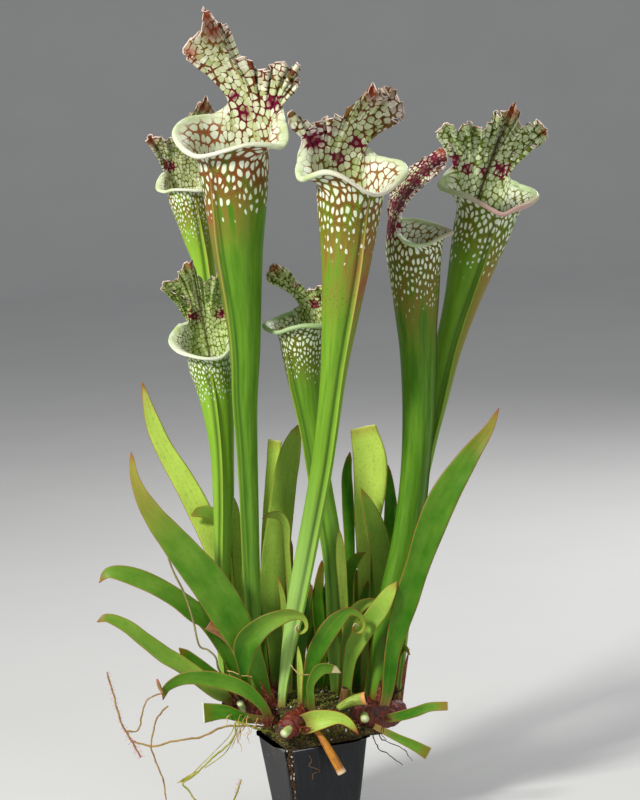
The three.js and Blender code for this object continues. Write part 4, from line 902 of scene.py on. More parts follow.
def wing_shadow_line(p, turn, radius):
    """The wing's shadow, painted as a dark line beside the wing on the side that the wing shades."""
    toward = 1 if p["facing"] < 0 else -1
    off = (turn - 0.5) * 2 * math.pi * radius * toward
    return np.exp(-(((off - WING_SHADOW_OFF) / WING_SHADOW_WIDE) ** 2))


def chart_values(b, turn, net, run):
    """Where the net and the long streaks lie, apart from those of the other pitchers."""
    streak = np.column_stack([signed(turn) * STREAK_ROUND, run, np.full(len(turn), b.seed * STREAK_SHIFT)])
    return dict(net=net / b.cell + b.seed * NET_SHIFT, streak=streak, turn=turn, **b.looks)


def tube_ring(skin, b, i, fin, shrink, inside):
    """One ring of the tube, and its turns: with a wing `fin` mm high, or with none."""
    across, out, turn, wing = tube_columns(b.rows[i, 3], fin).T
    scale = (b.rows[i, 3] - shrink) / b.rows[i, 3]
    points = b.places[i] + b.sides[i] * across[:, None] * scale + b.fronts[i] * out[:, None] * scale
    drop = np.full(len(turn), b.far[-1] - b.far[i])
    net = np.column_stack([signed(turn) * 2 * math.pi * b.radius, -NET_SLOPE * drop, np.zeros(len(turn))])
    values = zone_values(b.p, points, drop, turn) | chart_values(b, turn, net, -drop)
    # The wing's painted shadow, fading out towards the foot.
    groove = wing_shadow_line(b.p, turn, b.rows[i, 3]) * float(smooth(b.far[i] / 220))
    more = dict(wing=wing, drop=drop, far=b.far[i], inside=inside, rim=FAR_FROM_RIM, groove=groove)
    return skin.add(points, **values, **more), turn


def tube_into(skin, b):
    """The tube's outside, from its closed foot to its mouth, with the wing down its front."""

    def ring(i):
        t = i / TUBE_ROWS * 10
        fin = b.p["fin"] * float(smooth((10.2 - t) / 1.5) * smooth((t + 1) / 3))
        return tube_ring(skin, b, i, fin * (1 + 0.12 * math.sin(b.far[i] / 23 + b.seed)), 0, 0.0)

    before, turns = ring(0)
    skin.fan(before, b.places[:1], **NO_CHART)
    for i in range(1, TUBE_ROWS):
        after, turns = ring(i)
        skin.band(before, after)
        before = after
    return before, turns


def crown_turns():
    """Turns of the crown's columns, close together on the lid, with one at each side of the wing."""
    lid = np.arange(LID_COLS) / LID_COLS * NECK
    lip = NECK + np.arange(LIP_COLS) / LIP_COLS * (1 - 2 * NECK)
    u = np.r_[lid, lip, 1 - NECK + lid]
    return np.sort(np.r_[u[np.abs(u - 0.5) > 2 * SEAM], 0.5 - SEAM, 0.5 + SEAM])


def crown_surface(b, u, t):
    """The crown's middle surface with its puckers and frills: grid, normals, net chart and roll."""
    grid, roll, edge = crown_grid(b, u, t)
    first = outward(b.front, b.side, u)
    net = net_chart(b, grid, u)
    pucker = waves(grid.reshape(-1, 3), PUCKER_SIZE, b.seed, 2).reshape(grid.shape[:2]) * PUCKER_HIGH
    pucker = pucker * smooth(t * 1.6)[:, None] * (1 - roll) + frills(b, edge, u, t)
    grid = grid + grid_normals(grid, first) * pucker[..., None]
    return grid, grid_normals(grid, first), net, roll


def crown_into(skin, b, u):
    """The rings of the crown's outside and of its inside, from the mouth up to the free edge."""
    t = np.linspace(0, 1, CROWN_ROWS + 1)
    grid, normals, net, roll = crown_surface(b, u, t)
    rim = np.linalg.norm(grid - grid[-1][None], axis=2)
    rib = b.p["rib"]
    line = np.exp(-((signed(u) / (RIB_PALE if rib > 0 else RIB_DARK)) ** 2)) * abs(rib)
    # The wing's painted shadow runs on over the crown, weaker there.
    groove = 0.6 * wing_shadow_line(b.p, u, b.radius)
    sides = []
    for face, inside, (low, high) in ((1, 0.0, CREAM_OUTSIDE), (-1, 1.0, CREAM_INSIDE)):
        rings = []
        for k in range(CROWN_ROWS + 1):
            thin = WALL / 2 * (1 - 0.6 * smooth((t[k] - 0.6) / 0.4) * (1 - roll))
            values = zone_values(b.p, grid[k], np.full(len(u), -1.0), u) | chart_values(b, u, net[k], rim[k])
            values.update(
                inside=inside,
                rim=rim[k],
                far=b.far[-1],
                cream=roll * smooth((t[k] - low) / (high - low)),
                lid=(1 - smooth((np.abs(signed(u)) - NECK) / 0.05)) * smooth(t[k] / 0.15),
                middle=line * (rib > 0) * smooth(1.6 - 1.6 * t[k]),
                keel=line * (rib < 0) * smooth(2.6 - 2.6 * t[k]),
                groove=groove * (1 - inside),
            )
            rings.append(skin.add(grid[k] + normals[k] * (face * thin)[:, None], **values))
        sides.append(rings)
    return sides


def bore_into(skin, b, ring, u):
    """The tube's inside, from under the crown down to where it closes."""
    for i in range(TUBE_ROWS - 1, BORE_FOOT, -BORE_STEP):
        lower, turns = tube_ring(skin, b, i, None, WALL, 1.0)
        if i == TUBE_ROWS - 1:
            skin.knit(ring, u, lower, turns)
        else:
            skin.band(ring, lower)
        ring = lower
    foot = b.places[BORE_FOOT : BORE_FOOT + 1] - b.along[BORE_FOOT] * 3
    skin.fan(ring, foot, inside=1.0, **NO_CHART)


def pitcher_skin(p, seed):
    """One pitcher: its tube with the wing, its rolled lip and frilled lid, and the bore inside."""
    skin, b, u = Skin(), pitcher_body(p, seed), crown_turns()
    top, turns = tube_into(skin, b)
    outer, inner = crown_into(skin, b, u)
    skin.knit(top, turns, outer[0], u)
    skin.grid(outer)
    skin.band(outer[-1], inner[-1])
    skin.grid(inner[::-1])
    bore_into(skin, b, inner[0], u)
    return skin


def tone(r, g, b):
    """A colour given in 0 to 255, as the linear colour that shaders take."""
    linear = (((v / 255 + 0.055) / 1.055) ** 2.4 if v > 10 else v / 255 / 12.92 for v in (r, g, b))
    return (*linear, 1.0)


class Shader:
    """Short names for the nodes of one material."""

    def __init__(self, name):
        self.material = bpy.data.materials.new(name)
        self.material.use_nodes = True
        self.tree = self.material.node_tree
        self.tree.nodes.clear()
        self.out = self.node("OutputMaterial")
        self.skin = self.node("BsdfPrincipled")
        self.join(self.skin.outputs[0], self.out.inputs[0])

    def node(self, kind, **inputs):
        made = self.tree.nodes.new("ShaderNode" + kind)
        for name, value in inputs.items():
            self.feed(made.inputs[name], value)
        return made

    def join(self, a, b):
        self.tree.links.new(a, b)

    def feed(self, socket, value):
        if isinstance(value, bpy.types.NodeSocket):
            self.join(value, socket)
        else:
            socket.default_value = value

    def value(self, name, output="Fac"):
        """A named value of the piece's points."""
        node = self.node("Attribute")
        node.attribute_name = name
        return node.outputs[output]

    def vector(self, name):
        return self.value(name, "Vector")

    def read(self, *names):
        return SimpleNamespace(**{name: self.value(name) for name in names})

    def place(self):
        return self.node("TexCoord").outputs["Object"]

    def scaled(self, vector, x, y, z=1.0):
        return self.node("Mapping", Vector=vector, Scale=(x, y, z)).outputs[0]

    def noise(self, vector, scale=1.0, detail=3.0, rough=0.55):
        node = self.node("TexNoise", Vector=vector, Scale=scale, Detail=detail, Roughness=rough)
        return node.outputs["Fac"]

    def bent(self, vector, scale, amount):
        """The vector, shifted a little by noise."""
        node = self.node("TexNoise", Vector=vector, Scale=scale, Detail=1.0)
        shift = self.node("VectorMath")
        shift.operation = "MULTIPLY_ADD"
        for socket, value in zip(shift.inputs, (node.outputs["Color"], (amount,) * 3, vector)):
            self.feed(socket, value)
        return shift.outputs[0]

    def cells(self, vector, feature):
        """A flat cell pattern of about one unit a cell."""
        node = self.node("TexVoronoi", Vector=vector, Scale=1.0, Randomness=0.92)
        node.voronoi_dimensions = "2D"
        node.feature = feature
        return node.outputs

    def part(self, colour, index):
        return self.node("SeparateColor", Color=colour).outputs[index]

    def math(self, kind, *values, clamp=False):
        node = self.node("Math")
        node.operation = kind
        node.use_clamp = clamp
        for socket, value in zip(node.inputs, values):
            self.feed(socket, value)
        return node.outputs[0]

    def times(self, *values):
        product = values[0]
        for value in values[1:]:
            product = self.math("MULTIPLY", product, value)
        return product

    def plus(self, a, b, clamp=False):
        return self.math("ADD", a, b, clamp=clamp)

    def less(self, a, b, clamp=False):
        return self.math("SUBTRACT", a, b, clamp=clamp)

    def line(self, value, slope, base, clamp=False):
        """The value times a slope, plus a base."""
        return self.math("MULTIPLY_ADD", value, slope, base, clamp=clamp)

    def step(self, value, low, high, to=(0.0, 1.0)):
        """A smooth step from to[0] at low to to[1] at high."""
        node = self.node("MapRange")
        node.interpolation_type = "SMOOTHSTEP"
        for name, v in zip(("Value", "From Min", "From Max", "To Min", "To Max"), (value, low, high, *to)):
            self.feed(node.inputs[name], v)
        return node.outputs["Result"]

    def blend(self, share, a, b, kind="MIX"):
        """The first colour where the share is 0, and the second where it is 1. Both may be plain tones."""
        node = self.node("Mix")
        node.data_type = "RGBA"
        node.blend_type = kind
        self.feed(node.inputs[0], share)
        for index, colour in ((6, a), (7, b)):
            self.feed(node.inputs[index], tone(*colour) if isinstance(colour, tuple) else colour)
        return node.outputs[2]

    def layers(self, colour, *over):
        """A colour with others laid over it in turn, each given as a pair: its share and the colour."""
        for share, tint in over:
            colour = self.blend(share, colour, tint)
        return colour

    def bump(self, height, strength, distance):
        node = self.node("Bump", Strength=strength, Distance=distance, Height=height)
        self.join(node.outputs[0], self.skin.inputs["Normal"])

    def finish(self, colour, rough, glow=None, share=0.2, shine=0.5):
        """The material, with `share` of its light let through where it glows."""
        self.skin.inputs["Specular IOR Level"].default_value = shine
        self.feed(self.skin.inputs["Base Color"], colour)
        self.feed(self.skin.inputs["Roughness"], rough)
        if glow is not None:
            thin = self.node("BsdfTranslucent", Color=glow)
            both = self.node("MixShader", Fac=share)
            self.join(self.skin.outputs[0], both.inputs[1])
            self.join(thin.outputs[0], both.inputs[2])
            self.join(both.outputs[0], self.out.inputs[0])
        return self.material


def net_light(s, v, net):
    """Where the net's light meshes and thin veins are, each mesh's own value, and the run to its wall."""
    near = s.cells(net, "F1")
    own = s.part(near["Color"], 0)
    wall = s.cells(net, "DISTANCE_TO_EDGE")["Distance"]
    loss = s.times(s.math("POWER", s.less(1.0, v.spots, clamp=True), 0.7), s.line(own, 0.22, 0.20))
    loss = s.plus(loss, s.line(s.less(v.cloud, 0.5), 0.30, -0.13))
    loss = s.plus(loss, s.step(v.wine, 0.4, 1.0, (0.0, 0.3)))
    loss = s.line(v.lid, -0.03, s.line(v.inside, -0.17, loss))
    # Walls far and centre near: the meshes come out as rounded ovals.
    depth = s.line(near["Distance"], -0.75, wall)
    light = s.step(depth, loss, s.plus(loss, 0.10))
    light = s.times(light, s.step(s.less(v.spots, s.times(own, 0.55)), 0.0, 0.06))
    vein = s.times(s.step(wall, 0.06, 0.015), s.step(v.spots, 0.3, 0.9))
    return light, vein, own, wall


def wall_green(s, v):
    """The wall below the net: green, lighter in streaks, and cool towards the foot."""
    dark = s.blend(v.fine, (56, 108, 10), (82, 134, 20))
    light = s.blend(v.fine, (132, 182, 40), (160, 202, 70))
    # The pitcher's `light` lifts the green from the dark tones to the light ones: partly its own tone, partly
    # painted light and shade.
    green = s.blend(s.line(s.less(v.broad, 0.5), 0.9, v.light, clamp=True), dark, light)
    cool = s.times(s.step(v.far, 280.0, 60.0), v.blue)
    return s.blend(cool, green, s.blend(v.fine, (124, 176, 70), (196, 230, 134)))


def wall_speckles(s, v, streak):
    """Small red-brown specks below the net, where the wall is tan."""
    speck = s.step(s.noise(s.scaled(streak, 0.55, 0.3), 1.0, 2.0), 0.60, 0.66)
    return s.times(speck, s.step(v.tan, 0.03, 0.3), s.step(v.drop, 75.0, 95.0), 0.65)


def net_ground(s, v):
    """The dark skin between the light meshes, from olive to warm red-brown."""
    olive = s.blend(v.broad, (64, 96, 12), (104, 112, 28))
    # Where the pitcher's `light` is high, the olive turns bright green: partly its own tone, partly painted
    # light.
    olive = s.blend(v.light, olive, s.blend(v.broad, (110, 166, 26), (136, 182, 42)))
    ground = s.blend(v.warm, olive, s.blend(v.lid, (138, 84, 38), (118, 60, 32)))
    return s.layers(
        ground,
        (s.times(s.step(v.broad, 0.46, 0.62), s.step(v.lid, 0.0, 1.0, (0.9, 0.6))), olive),
        (v.mouth, s.blend(v.warm, (112, 140, 44), (164, 112, 64))),
        (v.stained, (116, 8, 44)),
    )


def net_veins(s, v):
    """The thin veins in the middle of that skin."""
    return s.layers(
        s.blend(v.warm, s.blend(v.lid, (70, 88, 20), (74, 62, 20)), (116, 42, 26)),
        (v.mouth, s.blend(v.warm, (96, 88, 30), (156, 54, 52))),
        (v.stained, (78, 2, 32)),
    )


def net_meshes(s, v, own):
    """The light meshes: clear on the tube, and leafy, chalky or rosy on the lid."""
    rosy = s.times(v.rosy, s.step(v.rim, 30.0, 8.0), s.step(v.cloud, 0.4, 0.55, (0.3, 1.0)))
    green = s.blend(own, (166, 196, 84), (216, 232, 146))
    leafy = s.layers(
        s.blend(v.warm, green, s.blend(own, (176, 186, 118), (236, 240, 210))),
        (v.chalk, s.blend(own, (184, 200, 158), (230, 238, 216))),
        (rosy, s.blend(own, (222, 194, 196), (250, 238, 236))),
    )
    clear = s.blend(own, (226, 238, 206), (240, 246, 226))
    mesh = s.blend(s.times(v.lid, 0.9), clear, leafy)
    return s.blend(s.step(v.wine, 0.5, 0.95, (0.0, 0.85)), mesh, (140, 40, 76))


def lip_cream(s, v):
    """The rolled lip: cream, palest at its front, and cool or pinkish on some of the pitchers."""
    front = s.step(s.math("ABSOLUTE", s.less(v.turn, 0.5)), 0.2, 0.05)
    return s.layers(
        s.blend(s.step(v.broad, 0.3, 0.75), (226, 236, 204), (192, 208, 136)),
        (s.times(front, 0.8), (238, 238, 222)),
        (v.cool, s.blend(v.broad, (150, 188, 140), (184, 204, 130))),
        (s.times(front, v.pink), s.blend(v.fine, (214, 176, 166), (196, 160, 148))),
    )


PITCHER_ZONES = (
    "spots", "wine", "dry", "tan", "flank", "far", "drop", "rim", "turn", "inside", "lid", "cream", "wing",
    "groove", "middle", "keel",
)


def pitcher_material():
    """The skin of all pitchers, drawn from the named values on their points."""
    s = Shader("pitcher_skin")
    net, streak = s.vector("net"), s.vector("streak")
    v = s.read(*PITCHER_ZONES, *PITCHER_LOOKS)
    v.cloud = s.noise(net, 0.3)
    v.fine = s.noise(s.scaled(streak, 0.9, 0.012))
    v.broad = s.noise(s.scaled(streak, 0.14, 0.02))
    v.mouth = s.times(v.inside, s.less(1.0, v.lid))
    v.stained = s.step(v.wine, 0.05, 0.5)
    # The net ends sooner along some streaks than along others.
    v.spots = s.plus(v.spots, s.times(s.less(v.broad, 0.5), s.step(v.drop, 4.0, 40.0, (0.0, 0.9))))
    light, vein, own, wall = net_light(s, v, s.bent(net, 0.45, 0.5))
    brown = s.plus(s.times(v.tan, s.step(v.broad, 0.34, 0.56)), s.times(v.flank, 0.75), clamp=True)
    ridge = s.times(v.warm, s.step(v.drop, 220.0, 60.0))
    ridge = s.blend(ridge, (150, 190, 64), (210, 176, 104))
    crest = s.times(s.step(v.wing, 0.3, 0.95, (0.0, 0.75)), s.step(v.drop, 0.0, 60.0, (0.35, 1.0)))
    # A pale lid edge: partly the lid's own whitish margin, partly a painted highlight on its frills.
    pale_edge_and_highlight = s.times(v.lid, s.step(v.rim, 1.5, 0.5), s.step(v.cloud, 0.3, 0.55))
    colour = s.layers(
        wall_green(s, v),
        (brown, s.blend(s.step(v.broad, 0.42, 0.62), (150, 118, 50), (156, 86, 54))),
        (wall_speckles(s, v, streak), (104, 44, 28)),
        (s.step(v.spots, 0.1, 0.9), net_ground(s, v)),
        (s.times(vein, 0.85), net_veins(s, v)),
        (s.times(light, s.step(v.wing, 0.6, 0.2)), net_meshes(s, v, own)),
        (v.middle, (206, 214, 140)),
        (v.keel, s.blend(v.inside, (50, 56, 14), (56, 46, 14))),
        # The wing's shadow, painted as a dark line beside it.
        (s.times(v.groove, 0.7), s.blend(brown, (40, 70, 10), (70, 34, 14))),
        # Where `shade` is set, the wing's ridge is painted dark brown as painted shade.
        (crest, s.blend(v.shade, ridge, (52, 40, 16))),
        (s.times(v.dry, s.step(v.cloud, 0.15, 0.5)), (160, 70, 34)),
        (s.times(v.lid, s.step(v.rim, 3.2, 1.2), 0.7), (112, 34, 30)),
        (pale_edge_and_highlight, (236, 220, 204)),
        (v.cream, lip_cream(s, v)),
        (s.step(v.far, 4.0, 26.0, (0.8, 0.0)), s.blend(v.fine, (96, 26, 18), (150, 104, 50))),
    )
    relief = s.plus(s.times(s.step(wall, 0.0, 0.16), s.step(v.spots, 0.0, 0.5)), v.fine)
    s.bump(relief, 0.3, 0.0005)
    glow = s.blend(0.35, colour, (190, 220, 90), "MULTIPLY")
    return s.finish(colour, s.step(v.fine, 0.2, 0.8, (0.34, 0.46)), glow, 0.14, 0.22)


def leaf_material():
    """Green blades, with their burnt or papery tips, red edges, cut ends and brown feet."""
    s = Shader("leaf_skin")
    v = s.read("rim", "tip", "far", "light", "red", "scorch", "papery", "cut")
    grain = s.vector("grain")
    veins = s.noise(s.scaled(grain, 1.5, 0.015))
    cloud = s.noise(s.scaled(grain, 0.06, 0.03))
    mottle = s.noise(s.scaled(grain, 0.35, 0.25))
    # `lit` is painted light and shade: it blends the shaded green `dark` with the lit green `bright`, by each
    # leaf's `light` and by soft cloud. The same `light` also lightens the scorched tips.
    lit = s.line(s.less(cloud, 0.5), 0.34, v.light, clamp=True)
    burnt = s.step(s.math("DIVIDE", v.tip, s.math("MAXIMUM", v.scorch, 1.0)), 1.0, 0.25)
    burnt = s.times(burnt, s.step(v.scorch, 1.0, 10.0), s.step(mottle, 0.2, 0.75, (0.35, 0.85)))
    paper = s.times(s.step(s.less(v.tip, v.papery), 1.0, -1.0), s.step(v.papery, 0.5, 1.0))
    dark = s.blend(veins, (34, 96, 3), (58, 126, 8))
    bright = s.blend(veins, (182, 216, 70), (218, 240, 118))
    colour = s.layers(
        s.blend(lit, dark, bright),
        (s.times(s.step(mottle, 0.5, 0.75), 0.25), (60, 104, 18)),
        (burnt, s.blend(v.light, (150, 122, 44), (206, 190, 104))),
        (s.times(s.step(v.rim, 1.3, 0.3), s.line(v.red, 0.5, 0.3)), (176, 140, 66)),
        (s.times(s.step(v.rim, 0.7, 0.15), v.red), (148, 52, 24)),
        (s.times(s.step(v.tip, 15.0, 1.0), s.line(v.red, 0.7, 0.2)), (158, 66, 30)),
        (paper, s.blend(veins, (176, 152, 104), (226, 222, 172))),
        (s.times(s.step(v.tip, 1.4, 0.7), v.cut), (236, 242, 216)),
        (s.step(v.far, 4.0, 28.0, (0.85, 0.0)), s.blend(veins, (104, 34, 22), (176, 150, 84))),
    )
    s.bump(veins, 0.25, 0.0004)
    return s.finish(colour, s.step(veins, 0.2, 0.8, (0.36, 0.5)), colour, 0.16, 0.16)


# Round stems and roots: the two tones of their streaks, their last few millimetres, and their cut face.
STEM_TONES = {
    "dried_stem": [(120, 74, 38), (184, 134, 78), (150, 104, 60), (120, 84, 50)],
    "straw_stem": [(110, 100, 60), (156, 146, 92), (150, 140, 90), (120, 84, 50)],
    "fresh_stem": [(150, 176, 90), (196, 214, 140), (170, 190, 110), (236, 244, 204)],
    "green_stem": [(104, 134, 34), (164, 186, 74), (222, 150, 84), (226, 150, 80)],
    "orange_stem": [(206, 140, 32), (150, 84, 26), (226, 196, 160), (60, 32, 20)],
    "sundew_stem": [(128, 100, 50), (178, 146, 80), (176, 104, 84), (160, 110, 80)],
    "weed_stem": [(130, 130, 36), (176, 176, 74), (170, 150, 60), (120, 130, 50)],
    "sticky_hairs": [(190, 96, 84), (206, 120, 96), (206, 84, 96), (214, 70, 110)],
    "pale_roots": [(170, 132, 66), (222, 190, 120), (214, 190, 130), (214, 190, 130)],
    "dark_roots": [(36, 22, 16), (84, 50, 34), (60, 36, 24), (60, 36, 24)],
    "brown_roots": [(74, 52, 36), (126, 92, 62), (96, 70, 46), (96, 70, 46)],
}


def stem_material(name, rough=0.7):
    """Streaked stems and roots, with another colour over their last few millimetres."""
    s = Shader(name)
    low, high, end, cut = STEM_TONES[name]
    streak = s.noise(s.scaled(s.vector("grain"), 0.7, 0.7, 0.05))
    patch = s.noise(s.place(), 160.0)
    colour = s.layers(
        s.blend(s.step(streak, 0.3, 0.7), low, high),
        (s.times(s.step(patch, 0.5, 0.7), 0.4), (84, 48, 28)),
        (s.step(s.value("tip"), 7.0, 1.0), end),
        (s.value("cut"), cut),
        (s.value("inside"), (26, 14, 8)),
    )
    s.bump(streak, 0.5, 0.0004)
    return s.finish(colour, rough)


def earth_material(name, dark, mid, pale, scale):
    """Crumbly ground in two tones, with paler patches `scale` to the metre."""
    s = Shader(name)
    spot = s.place()
    fine = s.noise(spot, scale * 5, 5.0, 0.65)
    colour = s.blend(s.step(fine, 0.35, 0.65), dark, mid)
    colour = s.blend(s.step(s.noise(spot, scale), 0.5, 0.75), colour, pale)
    s.bump(fine, 0.8, 0.001)
    return s.finish(colour, 0.95)


def bark_material():
    """Rhizome bark: glossy maroon, with dull brown patches and pale flakes."""
    s = Shader("rhizome_bark")
    spot = s.place()
    fine = s.noise(spot, 420.0, 4.0, 0.6)
    broad = s.noise(spot, 90.0)
    colour = s.layers(
        s.blend(s.step(fine, 0.3, 0.7), (60, 17, 8), (134, 46, 20)),
        (s.step(broad, 0.45, 0.7), (52, 30, 18)),
        (s.step(fine, 0.66, 0.8, (0.0, 0.7)), (190, 120, 70)),
    )
    s.bump(s.plus(fine, broad), 0.7, 0.0012)
    return s.finish(colour, s.step(fine, 0.3, 0.7, (0.35, 0.7)))


def scale_material():
    """Dry sheaths, maroon with straw-coloured patches."""
    s = Shader("dry_scales")
    grain = s.vector("grain")
    veins = s.noise(s.scaled(grain, 1.6, 0.06))
    mottle = s.noise(s.scaled(grain, 0.4, 0.3))
    colour = s.blend(veins, (84, 22, 16), (150, 62, 36))
    colour = s.blend(s.step(mottle, 0.5, 0.7), colour, (176, 138, 88))
    s.bump(veins, 0.5, 0.0005)
    return s.finish(colour, 0.6, colour, 0.1)


def tuft_material():
    """Moss shoots, from brown at their feet to yellow-green at their tips."""
    s = Shader("moss_shoots")
    own = s.value("own")
    old = s.blend(own, (54, 44, 14), (88, 84, 26))
    young = s.blend(own, (110, 128, 30), (178, 190, 72))
    colour = s.blend(s.value("high"), old, young)
    return s.finish(colour, 0.8, colour, 0.1)


def crumb_material():
    """Crumbs of bark and peat with pale mineral grains among them."""
    s = Shader("mix_crumbs")
    fine = s.noise(s.place(), 900.0, 4.0)
    bark = s.blend(fine, (38, 24, 14), (112, 72, 40))
    grit = s.blend(fine, (226, 222, 206), (170, 164, 146))
    s.bump(fine, 0.7, 0.0006)
    return s.finish(s.blend(s.step(s.value("own"), 0.90, 0.91), bark, grit), 0.9)


def pot_material():
    """Black plastic, with scratches along it, dust, flecks, a painted highlight along its rim and brown soil
    near the rim.
    """
    s = Shader("pot_shell")
    spot, rim, dusty = s.place(), s.value("rim"), s.value("dusty")
    scratch = s.noise(s.scaled(s.vector("across"), 2.2, 0.02), 1.0, 4.0, 0.7)
    dust = s.noise(spot, 34.0, 5.0, 0.65)
    fleck = s.noise(spot, 520.0, 2.0)
    colour = s.layers(
        s.blend(s.step(scratch, 0.52, 0.68, (0.0, 0.7)), (12, 14, 18), (58, 64, 74)),
        (s.times(dusty, s.step(dust, 0.3, 0.75, (0.3, 0.85))), (18, 19, 20)),
        (s.times(s.step(fleck, 0.68, 0.72), s.step(dust, 0.45, 0.6), dusty), (196, 196, 190)),
        # A painted highlight along the rim's edge, broken by the scratches.
        (s.times(s.step(rim, 1.0, 0.4), s.step(scratch, 0.3, 0.6)), (140, 146, 156)),
        (s.times(s.step(rim, 30.0, 0.0, (0.0, 0.5)), s.step(dust, 0.52, 0.7)), (92, 70, 46)),
    )
    s.bump(s.plus(s.times(scratch, 0.6), dust), 0.25, 0.0005)
    return s.finish(colour, s.step(rim, 1.5, 4.0, (0.22, 0.5)), shine=0.35)


# The plant
def build_pitchers():
    material = pitcher_material()
    for k, (node, p) in enumerate(PITCHERS.items()):
        make_piece(node + "_fine", pitcher_skin(p, k + 1), material, [node])


def build_leaves(material):
    """One piece for each leaf. Its place in the list is its seed, and so it is for the other plant parts."""
    for k, (node, spec) in enumerate(LEAVES.items()):
        skin = Skin()
        leaf_into(skin, spec, k + 1)
        make_piece(node + "_fine", skin, material, [node])


def build_inner(material):
    skin = Skin()
    for k, spine in enumerate(INNER):
        # A low light draws these blades in painted shade.
        spec = dict(spine=spine, light=0.06, red=0.3, scorch=20 * (k % 3), twist=[20 * (k % 3 - 1), 15])
        leaf_into(skin, spec, 60 + k, cols=9, step=3)
    make_piece("leaves_inner", skin, material)


def build_stems():
    names = dict.fromkeys(spec["look"] for spec in STEMS.values())
    looks = {look: stem_material(look + "_stem", 0.6) for look in names}
    for k, (node, spec) in enumerate(STEMS.items()):
        skin = Skin()
        look = spec["look"]
        bumps = 0.25 if look == "dried" else 0.12
        stem_into(skin, spec["spine"], sides=24, step=0.9, bumps=bumps, seed=k, hollow=spec.get("hollow", 0))
        make_piece(node + "_fine", skin, looks[look], [node])


def build_weeds():
    for node, spines in WEEDS.items():
        skin = Skin()
        for k, spine in enumerate(spines):
            stem_into(skin, spine, sides=10, step=1.2, bumps=0.25, seed=k, wander=0.8, thin=0.8)
        if node == "sundew":
            stem_into(skin, TWIG_BUD, sides=10, step=0.8, bumps=0.3, seed=9)
        else:
            for k, spine in enumerate(WEED_SHOOTS):
                stem_into(skin, spine, sides=10, step=1.2, bumps=0.2, seed=7 + k)
            leaf_into(skin, WEED_LEAF, 3, cols=7)
        look = stem_material("sundew_stem" if node == "sundew" else "weed_stem")
        make_piece(node + "_fine", skin, look, [node])


# Sticky hairs stand along these stretches of the small stems: spine, hairs and reach in mm.
GLANDS = [
    ([[107, 672, -28, 1], [112, 690, -30, 1.2], [118, 712, -31, 1.2], [124, 728, -31, 1.2]], 46, 3.2),
    ([[124, 728, -31, 1.2], [132, 742, -31, 1.2], [141, 757, -31, 1]], 70, 4.2),
    ([[236, 795, -42, 0.9], [241, 780, -42, 0.8]], 24, 3),
]
TRIANGLE = np.array([[1.0, 0, 0], [-0.5, 0.87, 0], [-0.5, -0.87, 0]])
ASKEW = [0.31, 0.2, 0.93]


def spike(skin, foot, way, long, wide, **values):
    """A thin closed three-sided spike. A value named `high` is 0 at its foot."""
    side = unit(np.cross(way, ASKEW))
    ring = foot + wide * (TRIANGLE[:, :1] * side + TRIANGLE[:, 1:2] * np.cross(way, side))
    base = skin.add(ring, **{**values, "high": 0.0} if "high" in values else values)
    top = skin.add(foot + way * long, **values)[0]
    skin.faces.append(np.array([base[::-1]]))
    skin.faces.append(np.array([[base[i], base[(i + 1) % 3], top] for i in range(3)]))


def bead(skin, middle, r, **values):
    """A small closed drop of eight faces."""
    ids = skin.add(middle + r * np.vstack([np.eye(3), -np.eye(3)]), **values)
    belt, above, below = ids[[0, 1, 3, 4]], ids[2], ids[5]
    skin.faces.append(np.array([[belt[i], belt[(i + 1) % 4], above] for i in range(4)]))
    skin.faces.append(np.array([[belt[(i + 1) % 4], belt[i], below] for i in range(4)]))


def build_glands():
    """The sticky hairs, each with a drop at its tip."""
    rng = np.random.default_rng(11)
    hairs = Skin()
    for spine, count, reach in GLANDS:
        rows = steps(spine, count)
        places = place(rows[:, :3])
        along = directions(places)
        for i in range(count):
            way = unit(np.cross(along[i], rng.normal(size=3)) + 0.3 * along[i])
            foot = places[i] + way * rows[i, 3] * 0.6
            long = reach * rng.uniform(0.6, 1)
            spike(hairs, foot, way, long, 0.16)
            bead(hairs, foot + way * long, rng.uniform(0.28, 0.45), cut=1.0)
    make_piece("sundew_hairs", hairs, stem_material("sticky_hairs", 0.25))


THREAD = 0.45


def thread_spine():
    """The root that clings to the pot, as a spine on the board."""
    points = []
    for far, z in POT_THREAD:
        _, girth = pot_line(0, z, [0])
        points.append(pot_line(-THREAD, z, [far / girth])[0][0])
    points = np.array(points)
    return np.column_stack([on_board(points), points[:, 1], np.full(len(points), THREAD)]).tolist()


def build_roots(name, look, spines, step, bumps, seed, wander=0):
    skin = Skin()
    for k, spine in enumerate(spines):
        stem_into(skin, spine, sides=8, step=step, bumps=bumps, seed=seed + k, wander=wander)
    make_piece(name, skin, stem_material(look))


def build_rhizomes():
    bark = bark_material()
    for node, spec in RHIZOMES.items():
        skin = Skin()
        stem_into(skin, spec["spine"], sides=56, step=0.7, bumps=1.3, seed=spec["seed"], rings=0.5)
        make_piece(node + "_fine", skin, bark, [node])


def scale_spine(foot, side, rng):
    """A dry sheath beside or before a foot, as a short spine."""
    path = steps(foot, 60)[: 5 + rng.integers(0, 4)]
    r = path[:, 3]
    wide = rng.uniform(2.6, 4.2)
    rise = np.linspace(0, 1, len(path))
    rows = np.column_stack([
        path[:, 0] + side * (r * 0.8 + 3.5 * rise**2),
        path[:, 1] + 2,
        path[:, 2] - (r + 0.8) * (1 - 0.3 * abs(side)),
        wide * (1 - rise**1.6) + 0.4,
    ])
    return rows[:: max(1, len(rows) // 5)].tolist()


